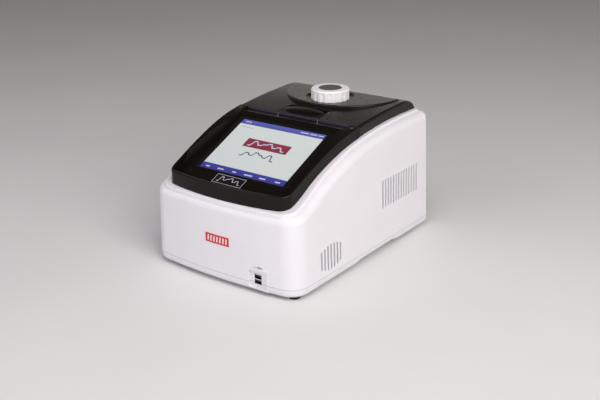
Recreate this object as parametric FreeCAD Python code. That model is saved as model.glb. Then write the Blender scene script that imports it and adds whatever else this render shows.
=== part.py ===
import FreeCAD, Part
import math
import os

from FreeCAD import Vector

# Thermal cycler with a tilted touch screen, a hinged heated lid and a 96-well block.
# Millimetres. X to the right, Y to the back, Z up. Origin: centre of the footprint, under the feet.

# ---- driving dimensions -------------------------------------------------------------------
WIDTH = 283.5
DEPTH = 391.2
FOOT_HEIGHT = 6.0
PARTING_Z = 19.3
SIDE_DRAFT = 0.0262
FRONT_DRAFT = 0.0171
FRONT_BOW = 0.0005
FRONT_CORNER_R = 31.0
REAR_CORNER_R = 15.0
WALL = 3.0
TOP_WALL = 3.5
SHOULDER_R = 13.0
BEAD_INSET = 12.0
BEAD_FRONT_INSET = 3.8
BEAD_R = 2.6

BLACK_HALF = 118.0
BLACK_FRONT_Y = -185.5
BLACK_TAPER = 0.0225
BLACK_BOW = 0.0009
BLACK_CORNER_R = 18.0
SEAM_Y = 7.5
SEAM_GAP = 0.8
RIM_GAP = 0.5

SCREEN_Y = -82.5
SCREEN_Z = 179.9
SCREEN_TILT = 23.94
GLASS_HALF = 92.0
GLASS_FRONT = -64.0
GLASS_REAR = 68.5
GLASS_T = 1.8
FLOOR_RISE = 1.2
FLOOR_T = 6.0
SLOPE_FRONT = -112.0
SLOPE_REAR = 79.0
SLOPE_END_Z = 210.6
RIM_T = 4.0
BADGE_X = (-37.3, 19.8)
BADGE_S = (-86.3, -66.4)
STATUS_X = -86.5
STATUS_S = -75.1

LID_REAR_Y = 178.0
LID_REAR_CORNER_R = 7.0
DECK_Y = 153.0
DECK_R = 104.0
DECK_Z = 226.5
DECK_REAR_Y = 147.0
DECK_ROUND = 1.8
HINGE_Y = 177.0
HINGE_Z = 212.4
HINGE_X = 72.0
KNUCKLE_R = 4.0
HINGE_PIN_R = 2.5
RUNNING = 0.05

BLOCK_Y = 99.0
BLOCK_TOP_Z = 183.0
WELL_PITCH = 9.0
WELL_COLUMNS = 12
WELL_ROWS = 8
KNOB_R = 31.8
KNOB_TOP_Z = 242.3
KNOB_BOTTOM_Z = 223.8
DISH_R = 41.0
DISH_FLOOR_R = 37.0
DISH_FLARE = 1.7
DISH_Z = 223.4
PLATE_Z = 194.0
PLATE_TRAVEL = 6.0

LATCH_HALF = 40.0
LATCH_REAR_Y = 42.0
LATCH_LOW_Z = 207.0
LATCH_GAP = 0.9
LATCH_PIN_Y = 10.8
LATCH_PIN_Z = 213.0
LATCH_PIN_R = 1.2

FOOT_X = 121.0
FOOT_FRONT_Y = -166.0
FOOT_REAR_Y = 145.0
FAN_HALF = 46.0
FAN_X = 47.5
FAN_Z = 66.0
FAN_T = 25.0
CHASSIS_Z = 9.0
CHASSIS_T = 2.0
SINK_BASE_Z = 151.0
SINK_BASE_T = 8.0
PELTIER_T = 4.0

# Side outlines, front to back: (y, z).
SHOULDER_LINE = [(-215, 128.5), (-176, 129.2), (-150, 137), (-120, 153.2), (-90, 167.6), (-60, 178.6),
                 (-30, 187.4), (0, 193.6), (40, 199), (90, 203), (140, 203.9), (215, 203.9)]
BEAD_LINE = [(-215, 132.8), (-176, 133.4), (-150, 141), (-120, 157.2), (-90, 171.6), (-60, 182.6),
             (-30, 191.4), (0, 197.6), (40, 203), (90, 207), (140, 207.8), (215, 207.8)]
RAIL_LINE = [(-215, 154.5), (-202, 154.5), (-189, 154.5), (-177, 154.5), (-168, 155.6), (-155, 161.1),
             (-142.5, 167.2), (-118, 178.6), (-93, 189.2), (-68, 198.8),
             (-42, 206.9), (-15, 212.9), (10, 216.4), (40, 219.5), (69, 222), (99, 223.8),
             (130, 224.8), (150, 224.6), (162, 222), (171, 216.5), (176, 209.5), (179, 200)]

PARTS = {}


# ---- helpers ------------------------------------------------------------------------------
def box(x0, x1, y0, y1, z0, z1):
    return Part.makeBox(x1 - x0, y1 - y0, z1 - z0, Vector(x0, y0, z0))


def rod(radius, start, end):
    """A round bar between two points."""
    start = Vector(*start)
    along = Vector(*end) - start
    return Part.makeCylinder(radius, along.Length, start, along)


def upright(radius, x, y, z0, z1):
    return Part.makeCylinder(radius, z1 - z0, Vector(x, y, z0))


def rounded_box(x0, x1, y0, y1, z0, z1, radius):
    """A box whose four vertical edges are rounded."""
    shape = box(x0, x1, y0, y1, z0, z1)
    upright_edges = [e for e in shape.Edges if abs(e.Vertexes[0].Z - e.Vertexes[1].Z) > 1e-6]
    return shape.makeFillet(radius, upright_edges)


def fuse_all(shapes):
    result = shapes[0]
    if len(shapes) > 1:
        result = shapes[0].multiFuse(shapes[1:])
    return result.removeSplitter()


def cut_all(shape, tools):
    return shape.cut(Part.makeCompound(tools))


def plan_outline(half, front_y, rear_y, front_r, rear_r, bow, z, taper=0.0):
    """A closed plan outline: bowed front, tangent corner arcs, sides drawn in to the front, back."""
    bow_r = 1.0 / (2.0 * bow)
    bow_centre = Vector(0, front_y + bow_r, z)
    lean = math.atan(taper)
    along = Vector(-math.sin(lean), -math.cos(lean), 0)
    outward = Vector(math.cos(lean), -math.sin(lean), 0)
    rear_side = Vector(half, rear_y - rear_r, z)
    start = rear_side - outward * front_r - bow_centre
    slope = start.dot(along)
    reach = -slope + math.sqrt(slope ** 2 - start.dot(start) + (bow_r - front_r) ** 2)
    corner = rear_side - outward * front_r + along * reach
    side = corner + outward * front_r
    to_front = (corner - bow_centre).normalize()
    touch = corner + to_front * front_r
    middle = corner + (to_front + outward).normalize() * front_r
    rear_centre = rear_side - outward * rear_r
    rear_back = rear_centre + Vector(0, rear_r, 0)
    rear_middle = rear_centre + (outward + Vector(0, 1, 0)).normalize() * rear_r

    def left(point):
        return Vector(-point.x, point.y, point.z)

    edges = [
        Part.Arc(left(touch), Vector(0, front_y, z), touch).toShape(),
        Part.Arc(touch, middle, side).toShape(),
        Part.LineSegment(side, rear_side).toShape(),
        Part.Arc(rear_side, rear_middle, rear_back).toShape(),
        Part.LineSegment(rear_back, left(rear_back)).toShape(),
        Part.Arc(left(rear_back), left(rear_middle), left(rear_side)).toShape(),
        Part.LineSegment(left(rear_side), left(side)).toShape(),
        Part.Arc(left(side), left(middle), left(touch)).toShape(),
    ]
    return Part.Wire(edges)


def casing_outline(z, inset=0.0, front_inset=None):
    """The casing's plan outline at a height, drawn in by the draft and by an inset."""
    if front_inset is None:
        front_inset = inset
    rise = abs(z - PARTING_Z)
    half = WIDTH / 2 - SIDE_DRAFT * rise - inset
    front_y = -DEPTH / 2 + FRONT_DRAFT * rise + front_inset
    rear_y = DEPTH / 2 - SIDE_DRAFT * rise - inset
    front_r = FRONT_CORNER_R - inset * 0.6
    rear_r = max(REAR_CORNER_R - inset * 0.6, 5.0)
    return plan_outline(half, front_y, rear_y, front_r, rear_r, FRONT_BOW, z)


def flat_sided(solid):
    """The same solid with its flat faces rebuilt as true planes."""
    faces = []
    for face in solid.Faces:
        plane = face.findPlane(FLAT_TOLERANCE)
        if plane is None:
            faces.append(face)
        else:
            faces.append(Part.Face(plane, face.OuterWire))
    rebuilt = Part.Solid(Part.Shell(faces))
    rebuilt.fix(FLAT_TOLERANCE, FLAT_TOLERANCE, FLAT_TOLERANCE)
    if rebuilt.Volume < 0:
        rebuilt.reverse()
    return rebuilt


def casing_block(z0, z1, inset=0.0, front_inset=None):
    wires = [casing_outline(z0, inset, front_inset), casing_outline(z1, inset, front_inset)]
    return flat_sided(Part.makeLoft(wires, True, True))


def black_block(grow, rear_y, rear_r, z0, z1, taper=0.0):
    """An upright block on the plan outline of the black top, larger or smaller by a margin."""
    half = BLACK_HALF + grow + taper * (rear_y - rear_r - SEAM_Y)
    wire = plan_outline(half, BLACK_FRONT_Y - grow, rear_y, BLACK_CORNER_R + grow, rear_r,
                        BLACK_BOW, z0, taper)
    return Part.Face(wire).extrude(Vector(0, 0, z1 - z0))


def under_line(line, drop, bottom, half=200.0):
    """Everything under a side outline, lowered by a drop, down to a bottom height."""
    points = [Vector(-half, y, z - drop) for y, z in line]
    curve = Part.BSplineCurve()
    curve.interpolate(points)
    first = points[0]
    last = points[-1]
    low_last = Vector(-half, last.y, bottom)
    low_first = Vector(-half, first.y, bottom)
    edges = [
        curve.toShape(),
        Part.LineSegment(last, low_last).toShape(),
        Part.LineSegment(low_last, low_first).toShape(),
        Part.LineSegment(low_first, first).toShape(),
    ]
    return Part.Face(Part.Wire(edges)).extrude(Vector(2 * half, 0, 0))


def side_prism(points, half):
    """A prism across the object from a side outline given as (y, z) corners."""
    corners = [Vector(-half, y, z) for y, z in points]
    corners.append(corners[0])
    return Part.Face(Part.makePolygon(corners)).extrude(Vector(2 * half, 0, 0))


def top_edges(shape, above):
    """Edges of a solid's upper rim: they border a wall and the topmost face."""
    cap = max(shape.Faces, key=lambda f: f.CenterOfMass.z)
    return [e for e in cap.Edges if e.BoundBox.ZMax > above]


def on_screen(shape):
    """Moves a shape from screen coordinates (x, up the slope, out of the glass) to its place."""
    placed = shape.copy()
    placed.rotate(Vector(0, 0, 0), Vector(1, 0, 0), SCREEN_TILT)
    placed.translate(Vector(0, SCREEN_Y, SCREEN_Z))
    return placed


def export(name, shape):
    PARTS[name] = shape
    shape.exportStep("parts/" + name + ".step")


# ---- casing -------------------------------------------------------------------------------
ARCH = [(-48, 0), (-48, 5.5), (-45, 6), (-23, 12.6), (73, 13.4), (99, 6), (102, 5.5), (102, 0)]
USB_X = 73.2
USB_Z = 24.9
USB_FACE_Y = -193.0
RECESS_DEPTH = 3.0
SLOT_HALF = 1.9
FLAT_TOLERANCE = 1e-4
BOSS_X = 133.4
BOSS_Y = 130.0
REAR_WINDOW = (-104.0, 104.0, 30.0, 150.0)


def usb_recess():
    """The shallow rounded recess round the USB ports, and the hole for the ports."""
    floor_y = USB_FACE_Y + RECESS_DEPTH
    recess = box(USB_X - 15.7, USB_X + 15.7, -205, floor_y, 11.0, 38.4)
    corners = [e for e in recess.Edges if abs(e.Vertexes[0].Y - e.Vertexes[1].Y) > 1e-6]
    recess = recess.makeFillet(4.0, corners)
    hole = box(USB_X - 6.9, USB_X + 6.9, -205, -180, USB_Z - 8.5, USB_Z + 8.5)
    return [recess, hole]


def upright_slot(x0, x1, y, z, half_width, half_height):
    """A slot cutter through a side wall, with round ends."""
    straight = half_height - half_width
    corners = [Vector(x0, y - half_width, z - straight), Vector(x0, y - half_width, z + straight),
               Vector(x0, y + half_width, z + straight), Vector(x0, y + half_width, z - straight)]
    top = Vector(x0, y, z + half_height)
    low = Vector(x0, y, z - half_height)
    edges = [
        Part.LineSegment(corners[0], corners[1]).toShape(),
        Part.Arc(corners[1], top, corners[2]).toShape(),
        Part.LineSegment(corners[2], corners[3]).toShape(),
        Part.Arc(corners[3], low, corners[0]).toShape(),
    ]
    return Part.Face(Part.Wire(edges)).extrude(Vector(x1 - x0, 0, 0))


def side_vents():
    """Slots through both side walls: a tall group at the back and a rounded group in front."""
    cutters = []
    for x0, x1 in ((120, 150), (-150, -120)):
        for index in range(14):
            cutters.append(upright_slot(x0, x1, 44.4 + 8.03 * index, 98.9, SLOT_HALF, 23.9))
        for index in range(7):
            reach = 20.5 - 0.6 * (index - 3) ** 2
            cutters.append(upright_slot(x0, x1, -124.9 + 8.09 * index, 45.9, SLOT_HALF, reach))
    return cutters


def lid_well(grow, z0, z1):
    """The rounded rectangular hole in the casing's top that the lid covers."""
    return rounded_box(-112.5 - grow, 112.5 + grow, SEAM_Y - 3, 170 + grow, z0, z1, 12.0)


def upper_housing():
    body = casing_block(PARTING_Z, 235).common(under_line(SHOULDER_LINE, 0, 0))
    body = body.makeFillet(SHOULDER_R, top_edges(body, 120))
    bead = casing_block(60, 235, BEAD_INSET, BEAD_FRONT_INSET)
    bead = bead.common(under_line(BEAD_LINE, 0, 100))
    bead = bead.makeFillet(BEAD_R, top_edges(bead, 120))
    hollow = casing_block(PARTING_Z, 235, WALL).common(under_line(SHOULDER_LINE, TOP_WALL, 0))
    hollow = hollow.makeFillet(SHOULDER_R - WALL, top_edges(hollow, 110))
    shell = body.fuse(bead).cut(hollow)
    pads = [box(USB_X - 19, USB_X + 19, -192, -186, PARTING_Z, 42)]
    for x in (-BOSS_X, BOSS_X):
        for y in (-BOSS_Y, BOSS_Y):
            pads.append(upright(6.5, x, y, PARTING_Z, 70))
    shell = shell.multiFuse(pads)
    tools = usb_recess() + side_vents()
    tools.append(black_block(0.5, SEAM_Y, 0.6, 110, 240, BLACK_TAPER))
    tools.append(lid_well(0, 150, 240))
    x0, x1, z0, z1 = REAR_WINDOW
    tools.append(box(x0, x1, 180, 205, z0, z1))
    for x in (-BOSS_X, BOSS_X):
        for y in (-BOSS_Y, BOSS_Y):
            tools.append(upright(2.0, x, y, PARTING_Z - 1, 45))
    return cut_all(shell, tools)


def base_tray():
    body = casing_block(FOOT_HEIGHT, PARTING_Z)
    low = min(body.Faces, key=lambda f: f.CenterOfMass.z)
    body = body.makeFillet(7.5, low.Edges)
    hollow = casing_block(FOOT_HEIGHT + WALL, PARTING_Z + 1, WALL)
    low = min(hollow.Faces, key=lambda f: f.CenterOfMass.z)
    hollow = hollow.makeFillet(4.5, low.Edges)
    arch = side_prism(ARCH, 160).cut(box(-119, 119, -60, 110, -1, 30))
    keep = side_prism([(y + (3 if y > 26 else -3), z + 3) for y, z in ARCH], 160)
    keep = keep.cut(box(-116, 116, -70, 120, -1, 40))
    hollow = hollow.cut(keep)
    tray = body.cut(hollow)
    pads = [box(USB_X - 19, USB_X + 19, -192, -186, FOOT_HEIGHT + WALL, PARTING_Z)]
    for x in (-BOSS_X, BOSS_X):
        for y in (-BOSS_Y, BOSS_Y):
            pads.append(upright(6.5, x, y, FOOT_HEIGHT + WALL, PARTING_Z))
    tray = tray.multiFuse(pads)
    tools = usb_recess() + [arch]
    for x in (-FOOT_X, FOOT_X):
        for y in (FOOT_FRONT_Y, FOOT_REAR_Y):
            tools.append(upright(2.2, x, y, 0, 30))
    for x in (-BOSS_X, BOSS_X):
        for y in (-BOSS_Y, BOSS_Y):
            tools.append(upright(2.2, x, y, 0, 30))
            tools.append(upright(4.4, x, y, 0, FOOT_HEIGHT + 3.5))
    for index in range(11):
        y = BLOCK_Y - 40 + 8 * index
        for x in (-FAN_X, FAN_X):
            tools.append(box(x - 38, x + 38, y - 1.6, y + 1.6, 0, 12))
    return cut_all(tray, tools)


def rubber_feet():
    feet = []
    for x in (-FOOT_X, FOOT_X):
        for y in (FOOT_FRONT_Y, FOOT_REAR_Y):
            foot = Part.makeCone(8.4, 9.6, FOOT_HEIGHT, Vector(x, y, 0))
            foot = foot.cut(upright(4.4, x, y, -1, 3.0))
            feet.append(foot.cut(upright(2.2, x, y, 0, 10)))
    return Part.makeCompound(feet)


def foot_screws():
    screws = []
    for x in (-FOOT_X, FOOT_X):
        for y in (FOOT_FRONT_Y, FOOT_REAR_Y):
            screws.append(upright(3.8, x, y, 0.8, 3.0).fuse(upright(1.9, x, y, 3.0, 14.0)))
    return Part.makeCompound(screws)


def casing_screws():
    screws = []
    for x in (-BOSS_X, BOSS_X):
        for y in (-BOSS_Y, BOSS_Y):
            head = upright(4.0, x, y, 6.4, 9.5)
            socket = upright(1.7, x, y, 6.0, 8.2)
            screws.append(head.cut(socket).fuse(upright(1.9, x, y, 9.5, 40)))
    return Part.makeCompound(screws)


# ---- screen -------------------------------------------------------------------------------
def tilted(s, n):
    """(y, z) of a point on the screen's slope: s up the slope, n out of the glass."""
    angle = math.radians(SCREEN_TILT)
    y = SCREEN_Y + s * math.cos(angle) - n * math.sin(angle)
    z = SCREEN_Z + s * math.sin(angle) + n * math.cos(angle)
    return (y, z)


def bezel_pocket():
    """The space over the slope that carries the screen: flared sides, and a low rim in front."""
    low_y, low_z = tilted(SLOPE_FRONT, FLOOR_RISE)
    floor = [(low_y, low_z), tilted(SLOPE_REAR, FLOOR_RISE), (SEAM_Y + 2, SLOPE_END_Z),
             (SEAM_Y + 2, 260), (low_y, 260)]
    space = side_prism(floor, 160)
    inside_rim = black_block(-RIM_T, SEAM_Y + 2, 1.0, 120, 262, BLACK_TAPER)

    def cross(z, grow):
        corners = [(-230, 126 + grow), (-16, 86.6 + grow), (-11, 92 + grow), (12, 92 + grow)]
        right = [Vector(x, y, z) for y, x in corners]
        left = [Vector(-x, y, z) for y, x in reversed(corners)]
        return Part.makePolygon(right + left + [right[0]])

    flare = Part.makeLoft([cross(120, -4.5), cross(230, 12)], True, True)
    return space.common(flare).common(inside_rim)


def bezel_hollow():
    """The space under the screen's slope, inside the bezel's skirt."""
    low_y, low_z = tilted(SLOPE_FRONT, FLOOR_RISE - FLOOR_T)
    rear_y = SEAM_Y - 5
    under_floor = [(-230, low_z), (low_y, low_z), tilted(SLOPE_REAR, FLOOR_RISE - FLOOR_T),
                   (rear_y, 205), (rear_y, 60), (-230, 60)]
    inside = black_block(-WALL, rear_y, 1.0, 100, 240, BLACK_TAPER)
    return inside.common(side_prism(under_floor, 160))


def screen_bezel():
    rear_y = SEAM_Y - SEAM_GAP / 2
    body = black_block(0, rear_y + 20, 1.0, 120, 240, BLACK_TAPER)
    body = body.common(under_line(RAIL_LINE, 0, 0))
    body = body.makeFillet(1.5, top_edges(body, 100))
    body = body.cut(box(-150, 150, rear_y, 60, 100, 250))
    body = body.cut(bezel_pocket())
    body = body.cut(under_line(BEAD_LINE, 5.0, 0))
    body = body.cut(bezel_hollow())
    glass_seat = on_screen(box(-GLASS_HALF - 0.3, GLASS_HALF + 0.3, GLASS_FRONT - 0.3,
                               GLASS_REAR + 0.3, -GLASS_T, 6))
    window = on_screen(box(-84, 84, -63, 63, -20, 6))
    body = cut_all(body, [glass_seat, window])
    wells = []
    for x in (-110.0, 110.0):
        wells.append(box(x - 2.7, x + 2.7, -4.7, 0.7, 205, 230))
    wells.append(status_rod(1.3, FLOOR_RISE - FLOOR_T - 2, FLOOR_RISE + 5))
    wells.append(badge_outline(0.25, FLOOR_RISE - 0.8, FLOOR_RISE + 2))
    return cut_all(body, wells)


def touch_screen():
    glass = box(-GLASS_HALF, GLASS_HALF, GLASS_FRONT, GLASS_REAR, -GLASS_T, 0)
    edges = [e for e in glass.Edges if abs(e.Vertexes[0].Z - e.Vertexes[1].Z) > 1e-6]
    return on_screen(glass.makeFillet(2.0, edges))


def display_module():
    can = box(-90, 90, -66, 66, -12.8, -4.8)
    raised = box(-83.6, 83.6, -62.6, 62.6, -4.8, -2.0)
    return on_screen(can.fuse(raised))


def display_board():
    board = box(-70, 70, -50, 50, -18.4, -16.8)
    pieces = [board]
    for x in (-60, 60):
        for s in (-42, 42):
            pieces.append(Part.makeCylinder(3, 4.0, Vector(x, s, -16.8)))
    pieces.append(box(-20, 14, -18, 16, -21.4, -18.4))
    pieces.append(box(28, 62, -46, -34, -24.4, -18.4))
    pieces.append(box(-58, -40, 20, 38, -20.4, -18.4))
    return on_screen(fuse_all(pieces))


def badge_outline(grow, low, high):
    """The name badge's block on the slope below the screen."""
    x0, x1 = BADGE_X
    s0, s1 = BADGE_S
    return on_screen(box(x0 - grow, x1 + grow, s0 - grow, s1 + grow, low, high))


def badge_plate():
    return badge_outline(0, FLOOR_RISE - 0.8, FLOOR_RISE + 0.3)


def status_rod(radius, low, high):
    """A round bar square to the slope, at the status light."""
    return on_screen(Part.makeCylinder(radius, high - low, Vector(STATUS_X, STATUS_S, low)))


def status_light():
    return status_rod(1.25, FLOOR_RISE - 5, FLOOR_RISE + 0.2)


def bezel_screw_covers():
    """Two square plugs, one at the rear end of each rail."""
    covers = []
    for x in (-110.0, 110.0):
        block = box(x - 2.5, x + 2.5, -4.5, 0.5, 205, 230)
        covers.append(block.common(under_line(RAIL_LINE, 0.3, 0)))
    return Part.makeCompound(covers)


def front_plate():
    plate = box(-22.5, 22.5, -200, -190, 65, 79)
    skin = casing_block(30, 110, -0.7).cut(casing_block(30, 110, 0.0))
    return plate.common(skin)


def usb_connector():
    """A stacked pair of USB type A ports in one metal shell."""
    front_y = USB_FACE_Y + RECESS_DEPTH - 0.5
    shell = box(USB_X - 6.7, USB_X + 6.7, front_y, front_y + 17, USB_Z - 8.3, USB_Z + 8.3)
    tools = []
    for z in (USB_Z - 4.0, USB_Z + 4.0):
        tools.append(box(USB_X - 6.1, USB_X + 6.1, front_y - 1, front_y + 15, z - 3.2, z + 3.2))
    return cut_all(shell, tools)


def usb_tongues():
    front_y = USB_FACE_Y + RECESS_DEPTH - 0.5
    pieces = []
    for z in (USB_Z - 4.0, USB_Z + 4.0):
        back = box(USB_X - 6.1, USB_X + 6.1, front_y + 12, front_y + 15, z - 3.2, z + 3.2)
        tongue = box(USB_X - 5.0, USB_X + 5.0, front_y + 1.5, front_y + 12, z - 0.2, z + 1.8)
        pieces.append(back.fuse(tongue))
    return Part.makeCompound(pieces)


def usb_board():
    board = box(USB_X - 13, USB_X + 13, -186, -158, USB_Z - 9.9, USB_Z - 8.3)
    plug = box(USB_X - 9, USB_X + 9, -168, -160, USB_Z - 8.3, USB_Z - 4)
    return board.fuse(plug)


# ---- lid ----------------------------------------------------------------------------------
def latch_hole(grow):
    """The trapezoid that the latch lever fills in the lid's front."""
    front = LATCH_HALF + 1 + grow
    rear = LATCH_HALF - 3 + grow
    y0 = SEAM_Y - 5
    y1 = LATCH_REAR_Y + grow
    z0 = LATCH_LOW_Z - grow
    points = [Vector(-front, y0, z0), Vector(front, y0, z0), Vector(rear, y1, z0),
              Vector(-rear, y1, z0)]
    points.append(points[0])
    return Part.Face(Part.makePolygon(points)).extrude(Vector(0, 0, 250 - z0))


def lid_block(grow, drop, bottom):
    """The lid's outer or inner body: plan outline under the top line, behind the seam."""
    plan = black_block(grow, LID_REAR_Y + grow, LID_REAR_CORNER_R + grow, 150, 245)
    body = plan.common(under_line(RAIL_LINE, drop, bottom))
    return body.cut(box(-200, 200, -260, SEAM_Y + SEAM_GAP / 2 - grow, 0, 300))


def knob_dish():
    """The shallow dish round the knob, with a sloping wall."""
    height = 240 - DISH_Z
    return Part.makeCone(DISH_FLOOR_R, DISH_FLOOR_R + DISH_FLARE * height, height, Vector(0, BLOCK_Y, DISH_Z))


def lid_cover():
    body = lid_block(0, 0, 150)
    front_y = SEAM_Y + SEAM_GAP / 2
    rim = [e for e in top_edges(body, 180) if e.BoundBox.YMax > front_y + 3]
    body = body.makeFillet(4.5, rim)
    deck = upright(DECK_R, 0, DECK_Y, 205, DECK_Z)
    deck = deck.common(box(-113, 113, 0, DECK_REAR_Y, 200, 240))
    rim = [e for e in deck.Edges if e.BoundBox.ZMin > DECK_Z - 0.1]
    deck = deck.makeFillet(DECK_ROUND, rim)
    body = body.fuse(deck)
    bead_top = under_line(BEAD_LINE, -RIM_GAP, 0)
    hollow = lid_block(-WALL, WALL, 150)
    tools = [bead_top, hollow, knob_dish()]
    tools.append(upright(10.1, 0, BLOCK_Y, 200, 240))
    tools.append(latch_hole(LATCH_GAP))
    tools.append(box(-12, 12, 0, SEAM_Y + 6, 190, 208))
    for x in (-HINGE_X, HINGE_X):
        tools.append(box(x - 15, x + 15, 168, 190, 190, HINGE_Z + KNUCKLE_R + 1.0))
    body = cut_all(body, tools)
    seat = upright(DISH_R + 3, 0, BLOCK_Y, DISH_Z - 3.4, DISH_Z)
    seat = seat.cut(upright(10.1, 0, BLOCK_Y, 200, 240))
    pieces = [body, seat]
    for x in (-47.0, 42.5):
        lug = box(x, x + 4.5, SEAM_Y + 1.4, SEAM_Y + 8, 208, 214.5)
        pieces.append(lug)
    return fuse_all(pieces).cut(latch_pin())


LINER_Z = 203.0
LINER_T = 2.5
GUIDE_X = 50.0
GUIDE_DY = 32.0
GUIDE_R = 4.0
SCREW_R = 6.0


def lid_liner():
    """The inner cover of the lid, with the guide holes of the heated plate."""
    plate = rounded_box(-109.5, 109.5, 13.0, 167.5, LINER_Z, LINER_Z + LINER_T, 10.0)
    tools = [upright(16.5, 0, BLOCK_Y, 190, 220)]
    posts = []
    for x in (-GUIDE_X, GUIDE_X):
        for dy in (-GUIDE_DY, GUIDE_DY):
            tools.append(upright(GUIDE_R + RUNNING, x, BLOCK_Y + dy, 190, 220))
            posts.append(upright(GUIDE_R + 3.5, x, BLOCK_Y + dy, LINER_Z, LINER_Z + 9))
    tools.append(box(-24, 24, 10, 28, 195, 215))
    for x in (-95.0, 95.0):
        posts.append(upright(4.0, x, 40.0, LINER_Z + LINER_T, 216.0))
        posts.append(upright(4.0, x, 150.0, LINER_Z + LINER_T, 220.0))
    for x in (-HINGE_X, HINGE_X):
        tools.append(box(x - 15, x + 15, 161.5, 175, 195, 215))
    return cut_all(fuse_all([plate] + posts), tools)


def liner_screws():
    screws = []
    for x in (-95.0, 95.0):
        for y in (40.0, 150.0):
            screws.append(upright(3.2, x, y, LINER_Z - 1.6, LINER_Z))
    return Part.makeCompound(screws)


def hinge_brackets():
    """Two fixed hinge leaves: a foot on the deck plate, a web and two knuckles each."""
    brackets = []
    for x in (-HINGE_X, HINGE_X):
        lugs = []
        for x0, x1 in ((x - 14, x - 8), (x + 8, x + 14)):
            barrel = rod(KNUCKLE_R, (x0, HINGE_Y, HINGE_Z), (x1, HINGE_Y, HINGE_Z))
            arm = box(x0, x1, 164.5, HINGE_Y, HINGE_Z - KNUCKLE_R, HINGE_Z - 1.0)
            web = box(x0, x1, 164.5, 168.5, 187, HINGE_Z - 1.0)
            lugs.extend([barrel, arm, web])
        lugs.append(box(x - 14, x + 14, 164.5, 168.5, 187, 202))
        lugs.append(box(x - 14, x + 14, 152, 168.5, 187, 190))
        bracket = fuse_all(lugs)
        bore = rod(HINGE_PIN_R, (x - 20, HINGE_Y, HINGE_Z), (x + 20, HINGE_Y, HINGE_Z))
        brackets.append(bracket.cut(bore))
    return Part.makeCompound(brackets)


def hinge_pins():
    pins = []
    for x in (-HINGE_X, HINGE_X):
        pins.append(rod(HINGE_PIN_R, (x - 14.5, HINGE_Y, HINGE_Z), (x + 14.5, HINGE_Y, HINGE_Z)))
    return Part.makeCompound(pins)


def lid_hinge_arms():
    """Two moving hinge leaves, screwed to the inside of the lid."""
    arms = []
    for x in (-HINGE_X, HINGE_X):
        barrel = rod(KNUCKLE_R, (x - 7.6, HINGE_Y, HINGE_Z), (x + 7.6, HINGE_Y, HINGE_Z))
        leaf = box(x - 7.6, x + 7.6, 140, HINGE_Y, HINGE_Z + 1.0, HINGE_Z + 3.0)
        arm = barrel.fuse(leaf)
        bore = rod(HINGE_PIN_R + RUNNING, (x - 10, HINGE_Y, HINGE_Z), (x + 10, HINGE_Y, HINGE_Z))
        arm = arm.cut(bore)
        post = upright(4.0, x, 146, HINGE_Z + 3.0, 220.0)
        arms.append(arm.fuse(post))
    return Part.makeCompound(arms)


# ---- latch --------------------------------------------------------------------------------
HOOK_Z = 197.0
SPRING_X = 28.0
SPRING_Y = 30.0
PAD_T = 3.2
PAD_MIDDLE_Y = 24.0
PAD_HALF = 40.0
PAD_REACH = 18.0
DOME = (42.0, 18.5, 8.0)
DOME_Y = 28.0
DOME_Z = 214.6
CLIP_X = 39.2


def ellipse_block(centre_y, half, reach, z0, z1):
    """An upright block on an elliptical plan."""
    curve = Part.Ellipse(Vector(0, centre_y, z0), half, reach)
    face = Part.Face(Part.Wire([curve.toShape()]))
    return face.extrude(Vector(0, 0, z1 - z0))


def stretched_ball(semi_axes, centre):
    """An ellipsoid with the given half lengths along X, Y and Z."""
    ball = Part.makeSphere(1.0)
    matrix = FreeCAD.Matrix()
    matrix.scale(Vector(*semi_axes))
    ball = ball.transformGeometry(matrix)
    ball.translate(Vector(*centre))
    return ball


def latch_lever():
    """The latch lever in the lid's front edge: a domed pad round at the back, and a hook below."""
    plan = latch_hole(0).common(box(-60, 60, 0, PAD_MIDDLE_Y, 190, 250))
    rear = ellipse_block(PAD_MIDDLE_Y, PAD_HALF, PAD_REACH, LATCH_LOW_Z, 250)
    plan = plan.fuse(rear.common(latch_hole(0)).common(box(-60, 60, PAD_MIDDLE_Y, 60, 190, 250)))
    skin = lid_block(0, 0, 150).cut(under_line(RAIL_LINE, PAD_T, 0, 210))
    pad = skin.common(plan)
    front = lid_block(0, 0, 150).common(latch_hole(0))
    front = front.common(box(-60, 60, SEAM_Y, SEAM_Y + 2.6, LATCH_LOW_Z, 230))
    dome = stretched_ball(DOME, (0, DOME_Y, DOME_Z)).common(plan)
    dome = dome.cut(under_line(RAIL_LINE, PAD_T - 1.0, 0, 210))
    pieces = [pad, front, dome]
    for x in (-34.0, 28.0):
        ear = box(x, x + 6, SEAM_Y + 1.6, LATCH_PIN_Y + 2.8, LATCH_PIN_Z - 2.8, 215)
        pieces.append(ear)
    pieces.append(box(-10, 10, SEAM_Y + 1.9, SEAM_Y + 5.4, HOOK_Z, 215))
    pieces.append(box(-10, 10, SEAM_Y + 5.4, SEAM_Y + 8.6, HOOK_Z, HOOK_Z + 2.5))
    lever = fuse_all(pieces)
    lever = lever.cut(box(-60, 60, 0, SEAM_Y + SEAM_GAP / 2 + 0.2, 190, 230))
    lever = lever.cut(latch_clips())
    bore = rod(LATCH_PIN_R + RUNNING, (-60, LATCH_PIN_Y, LATCH_PIN_Z), (60, LATCH_PIN_Y, LATCH_PIN_Z))
    return lever.cut(bore)


def latch_clips():
    """Two small steel clips let into the ends of the lever's front face."""
    clips = []
    for x in (-CLIP_X, CLIP_X):
        clips.append(box(x - 0.9, x + 0.9, SEAM_Y + 0.3, SEAM_Y + 1.5, 210.6, 214.8))
    return Part.makeCompound(clips)


def latch_pin():
    return rod(LATCH_PIN_R, (-47, LATCH_PIN_Y, LATCH_PIN_Z), (47, LATCH_PIN_Y, LATCH_PIN_Z))


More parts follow.
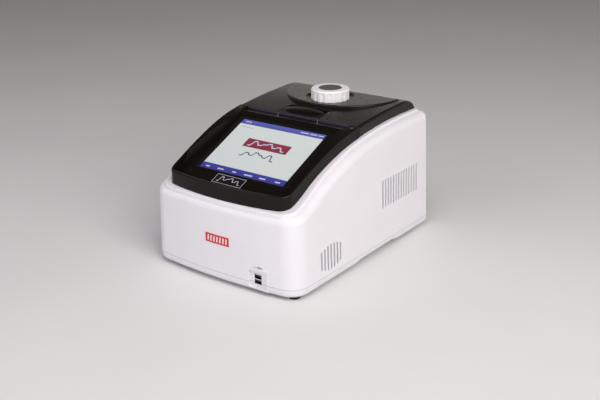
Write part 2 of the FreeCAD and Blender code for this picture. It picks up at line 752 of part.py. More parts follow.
def coil(radius, wire_r, pitch, turns, x, y, z):
    """An upright helical spring."""
    helix = Part.makeHelix(pitch, pitch * turns, radius)
    section = Part.Wire([Part.makeCircle(wire_r, Vector(radius, 0, 0), Vector(0, 1, 0))])
    spring = Part.Wire(helix.Edges).makePipeShell([section], True, True)
    spring.translate(Vector(x, y, z))
    return spring


def latch_springs():
    """Two coils between the lid's inner cover and the lever's back edge."""
    low = LINER_Z + LINER_T + 0.8
    return Part.makeCompound([coil(2.6, 0.4, 1.65, 5, x, SPRING_Y, low) for x in (-SPRING_X, SPRING_X)])


def latch_striker():
    """The fixed catch on the deck plate that the latch hook closes against."""
    foot = box(-18, 18, 21.5, 34, 187, 189.5)
    post = box(-18, 18, 21.5, 24.0, 187, 202.5)
    lip = box(-18, 18, 17.0, 24.0, 200.5, 202.5)
    return fuse_all([foot, post, lip])


# ---- pressure knob and heated plate --------------------------------------------------------
def knob():
    """The lid's pressure knob: sixteen wide flutes round a cup with a hub inside."""
    body = upright(KNOB_R, 0, BLOCK_Y, KNOB_BOTTOM_Z, KNOB_TOP_Z - 0.4)
    top = max(body.Faces, key=lambda f: f.CenterOfMass.z)
    body = body.makeFillet(3.0, top.Edges)
    flutes = []
    for index in range(16):
        angle = 2 * math.pi * (index + 0.5) / 16
        reach = KNOB_R + 5.6
        x = reach * math.cos(angle)
        y = BLOCK_Y + reach * math.sin(angle)
        flutes.append(upright(7.0, x, y, KNOB_BOTTOM_Z - 1, KNOB_TOP_Z - 4.0))
    flutes.append(upright(19.2, 0, BLOCK_Y, KNOB_TOP_Z - 1.4, KNOB_TOP_Z + 1))
    ring = upright(KNOB_R - 3.5, 0, BLOCK_Y, KNOB_BOTTOM_Z - 1, KNOB_TOP_Z - 5)
    ring = ring.cut(upright(12.0, 0, BLOCK_Y, KNOB_BOTTOM_Z - 1, KNOB_TOP_Z))
    flutes.append(ring)
    flutes.append(upright(6.0, 0, BLOCK_Y, KNOB_BOTTOM_Z - 1, KNOB_TOP_Z - 5))
    return cut_all(body, flutes)


def knob_cap():
    cap = upright(19.0, 0, BLOCK_Y, KNOB_TOP_Z - 1.4, KNOB_TOP_Z)
    top = max(cap.Faces, key=lambda f: f.CenterOfMass.z)
    return cap.makeFillet(0.5, top.Edges)


def knob_shaft():
    """The screw under the knob, with the shoulder that turns in the lid's bush."""
    screw = upright(SCREW_R, 0, BLOCK_Y, 206.0, KNOB_TOP_Z - 5.5)
    shoulder = upright(7.5, 0, BLOCK_Y, 217.0, KNOB_BOTTOM_Z - 0.1)
    return screw.fuse(shoulder)


def shaft_collar():
    """The ring clamped on the shaft under the bush, which holds the knob down."""
    ring = upright(12.0, 0, BLOCK_Y, 214.0, 216.8)
    return ring.cut(upright(SCREW_R, 0, BLOCK_Y, 210, 220))


def shaft_bush():
    bush = upright(10.0, 0, BLOCK_Y, 217.2, DISH_Z)
    return bush.cut(upright(7.5 + RUNNING, 0, BLOCK_Y, 210, 230))


def plate_carrier():
    """The frame over the heated plate, with the nut that the screw drives."""
    frame = rounded_box(-62, 62, BLOCK_Y - 42, BLOCK_Y + 42, PLATE_Z + 4.8, PLATE_Z + 7.6, 4.0)
    nut = upright(14.0, 0, BLOCK_Y, PLATE_Z + 4.8, 213.4)
    bore = upright(SCREW_R + RUNNING, 0, BLOCK_Y, PLATE_Z + 6.0, 230)
    pieces = [frame, nut]
    for x in (-GUIDE_X, GUIDE_X):
        for dy in (-GUIDE_DY, GUIDE_DY):
            pieces.append(upright(GUIDE_R + 1.5, x, BLOCK_Y + dy, PLATE_Z + 6, PLATE_Z + 7.8))
    return cut_all(fuse_all(pieces), [bore])


def guide_posts():
    posts = []
    for x in (-GUIDE_X, GUIDE_X):
        for dy in (-GUIDE_DY, GUIDE_DY):
            posts.append(upright(GUIDE_R, x, BLOCK_Y + dy, PLATE_Z + 7.8, 218.0))
    return Part.makeCompound(posts)


def heated_plate():
    plate = rounded_box(-64, 64, BLOCK_Y - 44, BLOCK_Y + 44, PLATE_Z, PLATE_Z + 4.0, 5.0)
    low = min(plate.Faces, key=lambda f: f.CenterOfMass.z)
    return plate.makeChamfer(0.8, low.Edges)


def heater_mat():
    return rounded_box(-61, 61, BLOCK_Y - 41, BLOCK_Y + 41, PLATE_Z + 4.0, PLATE_Z + 4.8, 4.0)


# ---- block and cooling ----------------------------------------------------------------------
def well_centres():
    centres = []
    for column in range(WELL_COLUMNS):
        for row in range(WELL_ROWS):
            x = (column - (WELL_COLUMNS - 1) / 2) * WELL_PITCH
            y = BLOCK_Y + (row - (WELL_ROWS - 1) / 2) * WELL_PITCH
            centres.append((x, y))
    return centres


def sample_block():
    """The aluminium block: a mounting flange and a body with 96 tapered wells."""
    flange = rounded_box(-66, 66, BLOCK_Y - 46, BLOCK_Y + 46, BLOCK_TOP_Z - 20, BLOCK_TOP_Z - 16, 3.0)
    body = rounded_box(-59, 59, BLOCK_Y - 41, BLOCK_Y + 41, BLOCK_TOP_Z - 16, BLOCK_TOP_Z, 4.0)
    wells = []
    for x, y in well_centres():
        wells.append(Part.makeCone(1.4, 3.15, 14.5, Vector(x, y, BLOCK_TOP_Z - 14.5)))
    for x in (-62.5, 62.5):
        for dy in (-42.5, 42.5):
            wells.append(upright(1.8, x, BLOCK_Y + dy, 160, 190))
    return cut_all(fuse_all([flange, body]), wells)


def block_screws():
    screws = []
    for x in (-62.5, 62.5):
        for dy in (-42.5, 42.5):
            head = upright(3.0, x, BLOCK_Y + dy, BLOCK_TOP_Z - 16, BLOCK_TOP_Z - 13.4)
            shank = upright(1.7, x, BLOCK_Y + dy, 153, BLOCK_TOP_Z - 16)
            screws.append(head.fuse(shank))
    return Part.makeCompound(screws)


SURROUND_Z = 184.0
SURROUND_T = 3.0


def block_gasket():
    ring = rounded_box(-62.0, 62.0, BLOCK_Y - 44, BLOCK_Y + 44, BLOCK_TOP_Z - 3, BLOCK_TOP_Z + 3.6, 6.0)
    return ring.cut(rounded_box(-59.2, 59.2, BLOCK_Y - 41.2, BLOCK_Y + 41.2, 170, 190, 4.0))


def block_surround():
    """The deck under the lid: a plate with a raised edge and a window for the block."""
    plate = rounded_box(-111.5, 111.5, 10.5, 169.0, SURROUND_Z, SURROUND_Z + SURROUND_T, 11.0)
    wall = rounded_box(-111.5, 111.5, 10.5, 169.0, SURROUND_Z, 193.0, 11.0)
    wall = wall.cut(rounded_box(-109.3, 109.3, 12.7, 166.8, 180, 200, 9.0))
    tools = [rounded_box(-62.2, 62.2, BLOCK_Y - 44.2, BLOCK_Y + 44.2, 180, 200, 6.2)]
    for x in (-85.0, 85.0):
        for y in (50.0, 148.0):
            tools.append(upright(2.2, x, y, 180, 200))
    for x in (-HINGE_X, HINGE_X):
        tools.append(box(x - 14.4, x + 14.4, 164.1, 175, SURROUND_Z + SURROUND_T, 200))
    body = cut_all(fuse_all([plate, wall]), tools)
    return body


def surround_spacers():
    spacers = []
    for x in (-85.0, 85.0):
        for y in (50.0, 148.0):
            spacer = upright(5.0, x, y, SINK_BASE_Z + SINK_BASE_T, SURROUND_Z)
            spacers.append(spacer.cut(upright(1.9, x, y, SINK_BASE_Z, 190)))
    return Part.makeCompound(spacers)


def surround_screws():
    screws = []
    for x in (-85.0, 85.0):
        for y in (50.0, 148.0):
            head = upright(3.8, x, y, SURROUND_Z + SURROUND_T, SURROUND_Z + SURROUND_T + 2.2)
            shank = upright(1.8, x, y, SINK_BASE_Z + SINK_BASE_T + 2, SURROUND_Z + SURROUND_T)
            screws.append(head.fuse(shank))
    return Part.makeCompound(screws)


def peltier_modules():
    modules = []
    base = SINK_BASE_Z + SINK_BASE_T
    for x in (-41.5, 0.0, 41.5):
        for dy in (-20.75, 20.75):
            y = BLOCK_Y + dy
            modules.append(box(x - 20, x + 20, y - 20, y + 20, base, base + PELTIER_T))
    return Part.makeCompound(modules)


def heat_sink():
    base = box(-100, 100, 42, 156, SINK_BASE_Z, SINK_BASE_Z + SINK_BASE_T)
    fins = []
    for index in range(22):
        y = BLOCK_Y + (index - 10.5) * 4.8
        fins.append(box(-86, 86, y - 0.8, y + 0.8, FAN_Z + FAN_T + 6, SINK_BASE_Z))
    body = fuse_all([base] + fins)
    holes = []
    for x in (-62.5, 62.5):
        for dy in (-42.5, 42.5):
            holes.append(upright(1.7, x, BLOCK_Y + dy, 152, 165))
    for x in (-92.5, 92.5):
        for y in (47.0, 151.0):
            holes.append(upright(2.2, x, y, 140, 165))
    return cut_all(body, holes)


def sink_supports():
    """Four posts that carry the heat sink, the block and the fan shelf."""
    posts = []
    for x in (-92.5, 92.5):
        for y in (47.0, 151.0):
            post = box(x - 5, x + 5, y - 5, y + 5, CHASSIS_Z + CHASSIS_T, SINK_BASE_Z)
            posts.append(post.cut(upright(1.9, x, y, SINK_BASE_Z - 15, SINK_BASE_Z + 1)))
    return Part.makeCompound(posts)


def fan_shelf():
    shelf = box(-98, 98, 41.5, 156.5, FAN_Z - 2, FAN_Z)
    tools = [upright(43, x, BLOCK_Y, FAN_Z - 5, FAN_Z + 5) for x in (-FAN_X, FAN_X)]
    for x in (-92.5, 92.5):
        for y in (47.0, 151.0):
            tools.append(box(x - 5.2, x + 5.6, y - 5.2, y + 5.2, FAN_Z - 5, FAN_Z + 5))
    return cut_all(shelf, tools)


def fan_frames():
    frames = []
    for x in (-FAN_X, FAN_X):
        frame = rounded_box(x - FAN_HALF, x + FAN_HALF, BLOCK_Y - FAN_HALF, BLOCK_Y + FAN_HALF,
                            FAN_Z, FAN_Z + FAN_T, 6.0)
        frame = frame.cut(upright(43.5, x, BLOCK_Y, FAN_Z - 1, FAN_Z + FAN_T + 1))
        pieces = [frame, upright(19, x, BLOCK_Y, FAN_Z, FAN_Z + 4)]
        pieces.append(upright(2.0, x, BLOCK_Y, FAN_Z, FAN_Z + FAN_T - 4))
        for quarter in range(4):
            strut = box(15, 44.5, -2, 2, FAN_Z, FAN_Z + 3)
            strut.rotate(Vector(0, 0, 0), Vector(0, 0, 1), 45 + 90 * quarter)
            strut.translate(Vector(x, BLOCK_Y, 0))
            pieces.append(strut)
        frames.append(fuse_all(pieces))
    return Part.makeCompound(frames)


def fan_rotor(x):
    """A fan wheel: a cup with seven pitched blades, turning on the frame's spindle."""
    z0 = FAN_Z + 5
    z1 = FAN_Z + FAN_T - 1.5
    hub = upright(18.5, x, BLOCK_Y, z0, z1)
    blades = []
    for index in range(7):
        blade = box(15, 41.5, -9.5, 9.5, -0.7, 0.7)
        blade.rotate(Vector(0, 0, 0), Vector(1, 0, 0), 38)
        blade.rotate(Vector(0, 0, 0), Vector(0, 0, 1), 360.0 * index / 7)
        blade.translate(Vector(x, BLOCK_Y, (z0 + z1) / 2))
        blades.append(blade)
    wheel = fuse_all([hub] + blades)
    reach = upright(42.2, x, BLOCK_Y, z0, z1)
    return wheel.common(reach).cut(upright(2.0 + RUNNING, x, BLOCK_Y, FAN_Z, z1 - 2))


def chassis_plate():
    top = CHASSIS_Z + CHASSIS_T
    plate = box(-112, 112, -178, 178, CHASSIS_Z, top)
    tools = [upright(44, x, BLOCK_Y, 0, 20) for x in (-FAN_X, FAN_X)]
    for x in (-112.0, 112.0):
        for y in (-178.0, 178.0):
            tools.append(box(x - 22, x + 22, y - 22, y + 22, 0, 20))
    return cut_all(plate, tools)


# ---- electronics ----------------------------------------------------------------------------
def main_board():
    board = box(2, 108, -165, -20, 22, 23.6)
    pieces = [board, box(30, 62, -120, -88, 23.6, 27), box(70, 100, -60, -30, 23.6, 40)]
    pieces.append(box(10, 24, -150, -110, 23.6, 33))
    pieces.append(box(68, 104, -110, -98, 23.6, 36))
    for index in range(4):
        pieces.append(upright(5, 16 + 12 * index, -40, 23.6, 42))
    return fuse_all(pieces)


def board_standoffs():
    posts = []
    for x in (8, 102):
        for y in (-158, -27):
            posts.append(upright(3.2, x, y, CHASSIS_Z + CHASSIS_T, 22))
    return Part.makeCompound(posts)


def power_supply():
    """A boxed supply with rows of air slots in its cover."""
    case = box(-106, -12, -165, -20, CHASSIS_Z + CHASSIS_T, 58)
    hollow = box(-104.5, -13.5, -163.5, -21.5, CHASSIS_Z + CHASSIS_T + 1.5, 56.5)
    slots = []
    for row in range(3):
        for index in range(12):
            y = -152 + 10 * index
            x = -92 + 24 * row
            slots.append(box(x, x + 16, y, y + 4, 55, 60))
    return cut_all(case.cut(hollow), slots)


def rear_panel():
    x0, x1, z0, z1 = REAR_WINDOW
    plate = box(x0 - 6, x1 + 6, 185.0, 187.0, z0 - 6, z1 + 6)
    tools = []
    for index in range(20):
        x = -92 + 7 * index
        tools.append(box(x - 1.6, x + 1.6, 180, 200, 100, 140))
    tools.append(box(52.0, 82.0, 180, 200, 38.0, 64.0))
    tools.append(box(53.2, 80.8, 180, 200, 71.0, 86.0))
    return cut_all(plate, tools)


INLET_X = 67.0
INLET_Z = 51.0


def power_inlet():
    """The mains inlet: flange, socket with three pins, and the fuse drawer's slot."""
    flange = rounded_prism(INLET_X - 19, INLET_X + 19, 187.0, 190.0, INLET_Z - 16, INLET_Z + 16, 2.5)
    body = box(INLET_X - 14.6, INLET_X + 14.6, 160, 187.0, INLET_Z - 12.6, INLET_Z + 12.6)
    shape = flange.fuse(body)
    socket = rounded_prism(INLET_X - 12.5, INLET_X + 12.5, 174, 191, INLET_Z - 4.4, INLET_Z + 11.6, 3.0)
    drawer = box(INLET_X - 11.3, INLET_X + 11.3, 168, 191, INLET_Z - 11.8, INLET_Z - 6.0)
    shape = cut_all(shape, [socket, drawer])
    pins = []
    for dx, z in ((-7, 2.0), (7, 2.0), (0, 6.0)):
        pins.append(box(INLET_X + dx - 1, INLET_X + dx + 1, 172, 183, INLET_Z + z - 2, INLET_Z + z + 2))
    return shape.multiFuse(pins)


def rounded_prism(x0, x1, y0, y1, z0, z1, radius):
    """A box whose four front-to-back edges are rounded."""
    shape = box(x0, x1, y0, y1, z0, z1)
    long_edges = [e for e in shape.Edges if abs(e.Vertexes[0].Y - e.Vertexes[1].Y) > 1e-6]
    return shape.makeFillet(radius, long_edges)


def fuse_drawer():
    body = box(INLET_X - 11.0, INLET_X + 11.0, 170, 190.6, INLET_Z - 11.5, INLET_Z - 6.3)
    lip = box(INLET_X - 4, INLET_X + 4, 190.6, 192.0, INLET_Z - 7.8, INLET_Z - 6.6)
    fuse_space = box(INLET_X - 10, INLET_X + 10, 173, 179, INLET_Z - 10.5, INLET_Z - 5)
    return body.fuse(lip).cut(fuse_space)


def fuse_link():
    """The glass fuse lying in its drawer."""
    return rod(2.0, (INLET_X - 9.7, 176, INLET_Z - 8.4), (INLET_X + 9.7, 176, INLET_Z - 8.4))


SWITCH_Z = 78.5
ROCKER_Y = 184.5
ROCKER_TILT = 7.5


def switch_housing():
    flange = rounded_prism(INLET_X - 16, INLET_X + 16, 187.0, 189.0, SWITCH_Z - 10, SWITCH_Z + 10, 2.0)
    body = box(INLET_X - 13.2, INLET_X + 13.2, 168, 187.0, SWITCH_Z - 7.0, SWITCH_Z + 7.0)
    hollow = box(INLET_X - 11, INLET_X + 11, 176, 190, SWITCH_Z - 5.6, SWITCH_Z + 5.6)
    pivot = rod(1.5, (INLET_X, ROCKER_Y, SWITCH_Z - 5.8), (INLET_X, ROCKER_Y, SWITCH_Z + 5.8))
    return flange.fuse(body).cut(hollow).fuse(pivot)


def power_rocker():
    """The rocker, a shallow V tipped to its off side, on an upright pivot."""
    points = [(-9.6, 5.4), (0, 3.6), (9.6, 5.4), (8.4, -1.4), (0, -3.2), (-8.4, -1.4)]
    corners = [Vector(INLET_X + x, ROCKER_Y + y, SWITCH_Z - 5.3) for x, y in points]
    corners.append(corners[0])
    body = Part.Face(Part.makePolygon(corners)).extrude(Vector(0, 0, 10.6))
    body.rotate(Vector(INLET_X, ROCKER_Y, 0), Vector(0, 0, 1), ROCKER_TILT)
    return body.cut(rod(1.5 + RUNNING, (INLET_X, ROCKER_Y, SWITCH_Z - 8), (INLET_X, ROCKER_Y, SWITCH_Z + 8)))


def build():
    os.makedirs("parts", exist_ok=True)
    makers = [
        upper_housing, base_tray, rubber_feet, foot_screws, casing_screws, screen_bezel,
        touch_screen, display_module, display_board, badge_plate, status_light,
        bezel_screw_covers, front_plate, usb_connector, usb_tongues, usb_board, lid_cover, lid_liner,
        liner_screws, hinge_brackets, hinge_pins, lid_hinge_arms, latch_lever, latch_clips, latch_pin,
        latch_springs, latch_striker, knob, knob_cap, knob_shaft, shaft_collar, shaft_bush,
        plate_carrier, guide_posts, heated_plate, heater_mat, sample_block, block_screws,
        block_gasket, block_surround, surround_spacers, surround_screws, peltier_modules,
        heat_sink, sink_supports, fan_shelf, fan_frames, chassis_plate, main_board,
        board_standoffs, power_supply, rear_panel, power_inlet, fuse_drawer, fuse_link,
        switch_housing, power_rocker,
    ]
    for maker in makers:
        export(maker.__name__, maker())
    export("fan_rotor_left", fan_rotor(-FAN_X))
    export("fan_rotor_right", fan_rotor(FAN_X))


build()
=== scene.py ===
"""Looks of the thermal cycler: materials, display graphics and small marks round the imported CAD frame."""

import math

import bmesh
import bpy
from mathutils import Matrix, Vector


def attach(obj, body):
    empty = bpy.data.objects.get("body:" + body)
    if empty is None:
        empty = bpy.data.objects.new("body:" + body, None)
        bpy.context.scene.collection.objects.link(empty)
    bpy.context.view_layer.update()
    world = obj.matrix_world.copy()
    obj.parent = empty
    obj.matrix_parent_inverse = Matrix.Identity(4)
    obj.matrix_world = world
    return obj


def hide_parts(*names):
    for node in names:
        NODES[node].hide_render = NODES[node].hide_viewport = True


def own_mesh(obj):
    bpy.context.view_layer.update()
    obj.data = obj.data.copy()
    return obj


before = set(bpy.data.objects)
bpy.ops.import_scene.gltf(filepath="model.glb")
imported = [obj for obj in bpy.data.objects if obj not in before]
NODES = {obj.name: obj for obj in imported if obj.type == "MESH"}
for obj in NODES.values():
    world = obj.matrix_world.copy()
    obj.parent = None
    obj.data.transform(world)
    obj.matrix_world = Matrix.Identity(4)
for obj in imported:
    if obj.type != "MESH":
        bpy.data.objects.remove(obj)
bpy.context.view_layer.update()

MM = 0.001
CABINET = "cabinet"
LID = "lid"

# The display's slope in the frame, in metres: its middle, its tilt about X, and half its lit area.
SCREEN_MIDDLE = Vector((0.0, -0.0825, 0.1799))
SCREEN_TILT = math.radians(23.94)
HALF_WIDTH = 0.0812
HALF_HEIGHT = 0.0609
# The lower edge of the display's top bar and the upper edge of its low bar, up the slope.
TOP_BAR = 0.0505
LOW_BAR = -0.0484

# How softly the lightened edges fade in, partly as wear and partly as painted highlight: the samples of the
# edge test, and the turn from no lightening to full lightening.
EDGE_SAMPLES = 4
EDGE_TURN = (0.01, 0.22)

# The painted reflection on the lid covers its front face, which lies in front of the first of these depths;
# its other faces lie behind the second.
REFLECTION_DEPTHS = (0.0083, 0.0086)
# The heights between which the painted reflection on the lid's front face begins.
REFLECTION_HEIGHTS = (0.2114, 0.2118)
# The height where the casing's halves meet, how the shadow line there fades on each side, and its shade.
PARTING_Z = 0.0193
PARTING_FADE = (0.0002, 0.0004)
PARTING_SHADE = 0.45

# Circuit boards: the tracks and the pads, and the step from board to parts. The display has a dot grid.
TRACK_DENSITY = 130.0
TRACK_WIDTH = 0.035
PAD_DENSITY = 260.0
PAD_EDGE = (0.34, 0.4)
PART_STEP = 0.0001

DOT_DENSITY = 2200.0

# The glass fuse: its middle across, where its metal caps begin and end their fade, and how clear it is.
FUSE_X = 0.067
FUSE_CAP = (0.0055, 0.0056)
FUSE_CLEAR = 0.8


# ---- node helpers --------------------------------------------------------------------------
class Shader:
    """A material under construction: its nodes, its links and its main shader."""

    def __init__(self, name):
        self.material = bpy.data.materials.new(name)
        self.material.use_nodes = True
        self.tree = self.material.node_tree
        self.main = self.tree.nodes["Principled BSDF"]
        self.place = self.add("ShaderNodeTexCoord").outputs["Object"]

    def add(self, kind, **settings):
        node = self.tree.nodes.new(kind)
        for key, value in settings.items():
            setattr(node, key, value)
        return node

    def link(self, source, target):
        self.tree.links.new(source, target)

    def fill(self, socket, value):
        """Links a socket, or sets a constant on it."""
        if isinstance(value, bpy.types.NodeSocket):
            self.link(value, socket)
        else:
            socket.default_value = value

    def stretched(self, scale):
        mapping = self.add("ShaderNodeMapping")
        mapping.inputs["Scale"].default_value = scale
        self.link(self.place, mapping.inputs["Vector"])
        return mapping.outputs["Vector"]

    def noise(self, size_mm, detail=3.0, roughness=0.55, vector=None, distortion=0.0):
        """Noise whose features have about this size."""
        node = self.add("ShaderNodeTexNoise")
        node.inputs["Scale"].default_value = 1000.0 / size_mm
        node.inputs["Detail"].default_value = detail
        node.inputs["Roughness"].default_value = roughness
        node.inputs["Distortion"].default_value = distortion
        self.link(vector or self.place, node.inputs["Vector"])
        return node.outputs["Fac"]

    def spread(self, value, low, high, from_low=0.3, from_high=0.7):
        """Maps a value's middle range onto low to high."""
        node = self.add("ShaderNodeMapRange")
        node.inputs["From Min"].default_value = from_low
        node.inputs["From Max"].default_value = from_high
        node.inputs["To Min"].default_value = low
        node.inputs["To Max"].default_value = high
        self.link(value, node.inputs["Value"])
        return node.outputs["Result"]

    def math(self, operation, first, second=None):
        node = self.add("ShaderNodeMath", operation=operation)
        self.fill(node.inputs[0], first)
        if second is not None:
            self.fill(node.inputs[1], second)
        return node.outputs[0]

    def mix(self, share, first, second):
        node = self.add("ShaderNodeMix", data_type="RGBA")
        self.fill(node.inputs["Factor"], share)
        self.fill(node.inputs["A"], first)
        self.fill(node.inputs["B"], second)
        return node.outputs["Result"]

    def height_of(self, axis):
        """One coordinate of the surface point, in the part's frame."""
        node = self.add("ShaderNodeSeparateXYZ")
        self.link(self.place, node.inputs["Vector"])
        return node.outputs[axis]

    def bump(self, height, depth_mm, strength=1.0, below=None):
        node = self.add("ShaderNodeBump")
        node.inputs["Strength"].default_value = strength
        node.inputs["Distance"].default_value = depth_mm * MM
        self.link(height, node.inputs["Height"])
        if below is not None:
            self.link(below, node.inputs["Normal"])
        self.link(node.outputs["Normal"], self.main.inputs["Normal"])
        return node.outputs["Normal"]

    def edge_mask(self, radius_mm):
        """Near 1 along convex and concave edges, 0 on open surfaces."""
        bevel = self.add("ShaderNodeBevel", samples=EDGE_SAMPLES)
        bevel.inputs["Radius"].default_value = radius_mm * MM
        geometry = self.add("ShaderNodeNewGeometry")
        dot = self.add("ShaderNodeVectorMath", operation="DOT_PRODUCT")
        self.link(bevel.outputs["Normal"], dot.inputs[0])
        self.link(geometry.outputs["Normal"], dot.inputs[1])
        turned = self.math("SUBTRACT", 1.0, dot.outputs["Value"])
        return self.spread(turned, 0.0, 1.0, *EDGE_TURN)


def colour(red, green, blue):
    return (red, green, blue, 1.0)


def scaled(rgba, share):
    return (rgba[0] * share, rgba[1] * share, rgba[2] * share, 1.0)


def moulded_plastic(name, base, rough, grain_mm=0.7, grain_depth=0.012, spread=0.08, tint=0.93,
                    edge_wear_highlight_share=1.12, specular=0.5, coat=0.0, painted_front_reflection=None, grain=0.8, parting=False):
    """Moulded plastic: fine tool texture, slow colour drift, handling marks and edges lightened partly as
    wear and partly as painted highlight.

    A front strip is a painted reflection: a purple tint laid on the upright face along the lid's front edge
    in place of the light that face reflects. Parting draws the thin shadow line where the casing's halves
    meet. Tint is the share of the base colour in its darker patches, and the edge share its share on edges,
    lightened partly as wear and partly as painted highlight."""
    s = Shader(name)
    drift = s.spread(s.noise(size_mm=70.0, detail=3.0), low=0.0, high=1.0)
    speck = s.spread(s.noise(size_mm=1.6, detail=2.0), low=0.0, high=0.35)
    body = s.mix(drift, base, scaled(base, tint))
    body = s.mix(speck, body, scaled(base, tint * 0.97))
    patchy = s.spread(s.noise(size_mm=9.0, detail=4.0), low=0.25, high=1.0)
    # Lightened edges: partly wear, partly painted highlight along convex and concave edges.
    wear_and_highlight = s.math("MULTIPLY", s.edge_mask(radius_mm=0.7), patchy)
    body = s.mix(wear_and_highlight, body, scaled(base, edge_wear_highlight_share))
    # Painted reflection: the upright front face of the lid and the lever is tinted purple in place of the
    # light it reflects.
    if painted_front_reflection is not None:
        in_front = s.spread(s.height_of("Y"), 1.0, 0.0, *REFLECTION_DEPTHS)
        high_up = s.spread(s.height_of("Z"), 0.0, 1.0, *REFLECTION_HEIGHTS)
        body = s.mix(s.math("MULTIPLY", in_front, high_up), body, painted_front_reflection)
    if parting:
        off_line = s.math("ABSOLUTE", s.math("SUBTRACT", s.height_of("Z"), PARTING_Z))
        on_line = s.spread(off_line, 1.0, 0.0, *PARTING_FADE)
        body = s.mix(on_line, body, scaled(base, PARTING_SHADE))
    s.link(body, s.main.inputs["Base Color"])
    handled = s.noise(size_mm=24.0, detail=5.0, roughness=0.65, distortion=0.4)
    s.link(s.spread(handled, rough - spread, rough + spread), s.main.inputs["Roughness"])
    s.main.inputs["Specular IOR Level"].default_value = specular
    s.main.inputs["Coat Weight"].default_value = coat
    s.main.inputs["Coat Roughness"].default_value = 0.12
    ripple = s.bump(s.noise(size_mm=46.0, detail=1.0), depth_mm=0.05, strength=0.35)
    s.bump(s.noise(grain_mm, detail=2.0), grain_depth, grain, below=ripple)
    return s.material


def rubber(name, base):
    """Matt rubber with a fine grain and a little pale dust."""
    s = Shader(name)
    dust = s.spread(s.noise(size_mm=5.0, detail=5.0), low=0.0, high=0.6)
    s.link(s.mix(dust, base, scaled(base, 2.2)), s.main.inputs["Base Color"])
    rough = s.spread(s.noise(size_mm=3.0, detail=3.0), low=0.72, high=0.9)
    s.link(rough, s.main.inputs["Roughness"])
    s.main.inputs["Specular IOR Level"].default_value = 0.3
    s.bump(s.noise(size_mm=0.5, detail=3.0), depth_mm=0.03, strength=0.9)
    return s.material


def metal(name, base, rough, stretch=None, depth=0.004, size=0.6, spread=0.09):
    """Bare metal: brushed along one axis if a stretch is given, else a fine even finish."""
    s = Shader(name)
    vector = s.stretched(stretch) if stretch else None
    grain = s.noise(size, detail=3.0, vector=vector)
    drift = s.spread(s.noise(size_mm=30.0, detail=3.0), low=0.0, high=1.0)
    body = s.mix(drift, base, scaled(base, 0.86))
    body = s.mix(s.spread(grain, low=0.0, high=0.4), body, scaled(base, 0.75))
    s.link(body, s.main.inputs["Base Color"])
    s.main.inputs["Metallic"].default_value = 1.0
    s.link(s.spread(grain, rough - spread, rough + spread), s.main.inputs["Roughness"])
    s.bump(grain, depth, strength=0.8)
    return s.material


PAD_COLOUR = colour(0.62, 0.55, 0.38)


def circuit_board(name, mask, board_top, part_colour):
    """Solder mask with tracks and pads; what stands above board_top is dark parts."""
    s = Shader(name)
    grid = s.add("ShaderNodeTexBrick", offset=0.5)
    grid.inputs["Scale"].default_value = TRACK_DENSITY
    grid.inputs["Mortar Size"].default_value = TRACK_WIDTH
    grid.inputs["Color1"].default_value = mask
    grid.inputs["Color2"].default_value = scaled(mask, 0.8)
    grid.inputs["Mortar"].default_value = scaled(mask, 1.9)
    s.link(s.place, grid.inputs["Vector"])
    dots = s.add("ShaderNodeTexVoronoi", feature="DISTANCE_TO_EDGE")
    dots.inputs["Scale"].default_value = PAD_DENSITY
    s.link(s.place, dots.inputs["Vector"])
    pads = s.spread(dots.outputs["Distance"], 0.0, 1.0, *PAD_EDGE)
    board = s.mix(pads, grid.outputs["Color"], PAD_COLOUR)
    above = s.spread(s.height_of("Z"), 0.0, 1.0, board_top, board_top + PART_STEP)
    uneven = s.spread(s.noise(size_mm=6.0), low=0.0, high=1.0)
    parts = s.mix(uneven, part_colour, scaled(part_colour, 2.5))
    s.link(s.mix(above, board, parts), s.main.inputs["Base Color"])
    s.link(s.spread(s.noise(size_mm=4.0), low=0.3, high=0.5), s.main.inputs["Roughness"])
    s.bump(grid.outputs["Fac"], depth_mm=0.02, strength=0.6)
    return s.material


def lit_panel(name, top, bottom, low_s, high_s, glow, speck=0.05):
    """A lit area of the display: a colour gradient up the slope, a faint dot grid, glossy cover.

    The gradient runs from low_s to high_s, in metres up the slope from the display's middle."""
    s = Shader(name)
    up = s.add("ShaderNodeVectorMath", operation="DOT_PRODUCT")
    s.link(s.place, up.inputs[0])
    up.inputs[1].default_value = (0.0, math.cos(SCREEN_TILT), math.sin(SCREEN_TILT))
    offset = SCREEN_MIDDLE.y * math.cos(SCREEN_TILT) + SCREEN_MIDDLE.z * math.sin(SCREEN_TILT)
    share = s.spread(up.outputs["Value"], 0.0, 1.0, offset + low_s, offset + high_s)
    dots = s.add("ShaderNodeTexChecker")
    dots.inputs["Scale"].default_value = DOT_DENSITY
    s.link(s.place, dots.inputs["Vector"])
    cloud = s.spread(s.noise(size_mm=40.0, detail=2.0), low=0.0, high=1.0)
    body = s.mix(share, bottom, top)
    body = s.mix(s.math("MULTIPLY", cloud, speck), body, scaled(top, 0.86))
    body = s.mix(s.math("MULTIPLY", dots.outputs["Fac"], speck), body, scaled(bottom, 0.8))
    s.link(body, s.main.inputs["Base Color"])
    s.link(body, s.main.inputs["Emission Color"])
    s.main.inputs["Emission Strength"].default_value = glow
    smear = s.spread(s.noise(size_mm=18.0, detail=4.0), low=0.06, high=0.16)
    s.link(smear, s.main.inputs["Roughness"])
    return s.material


INK_SPREAD = 0.08


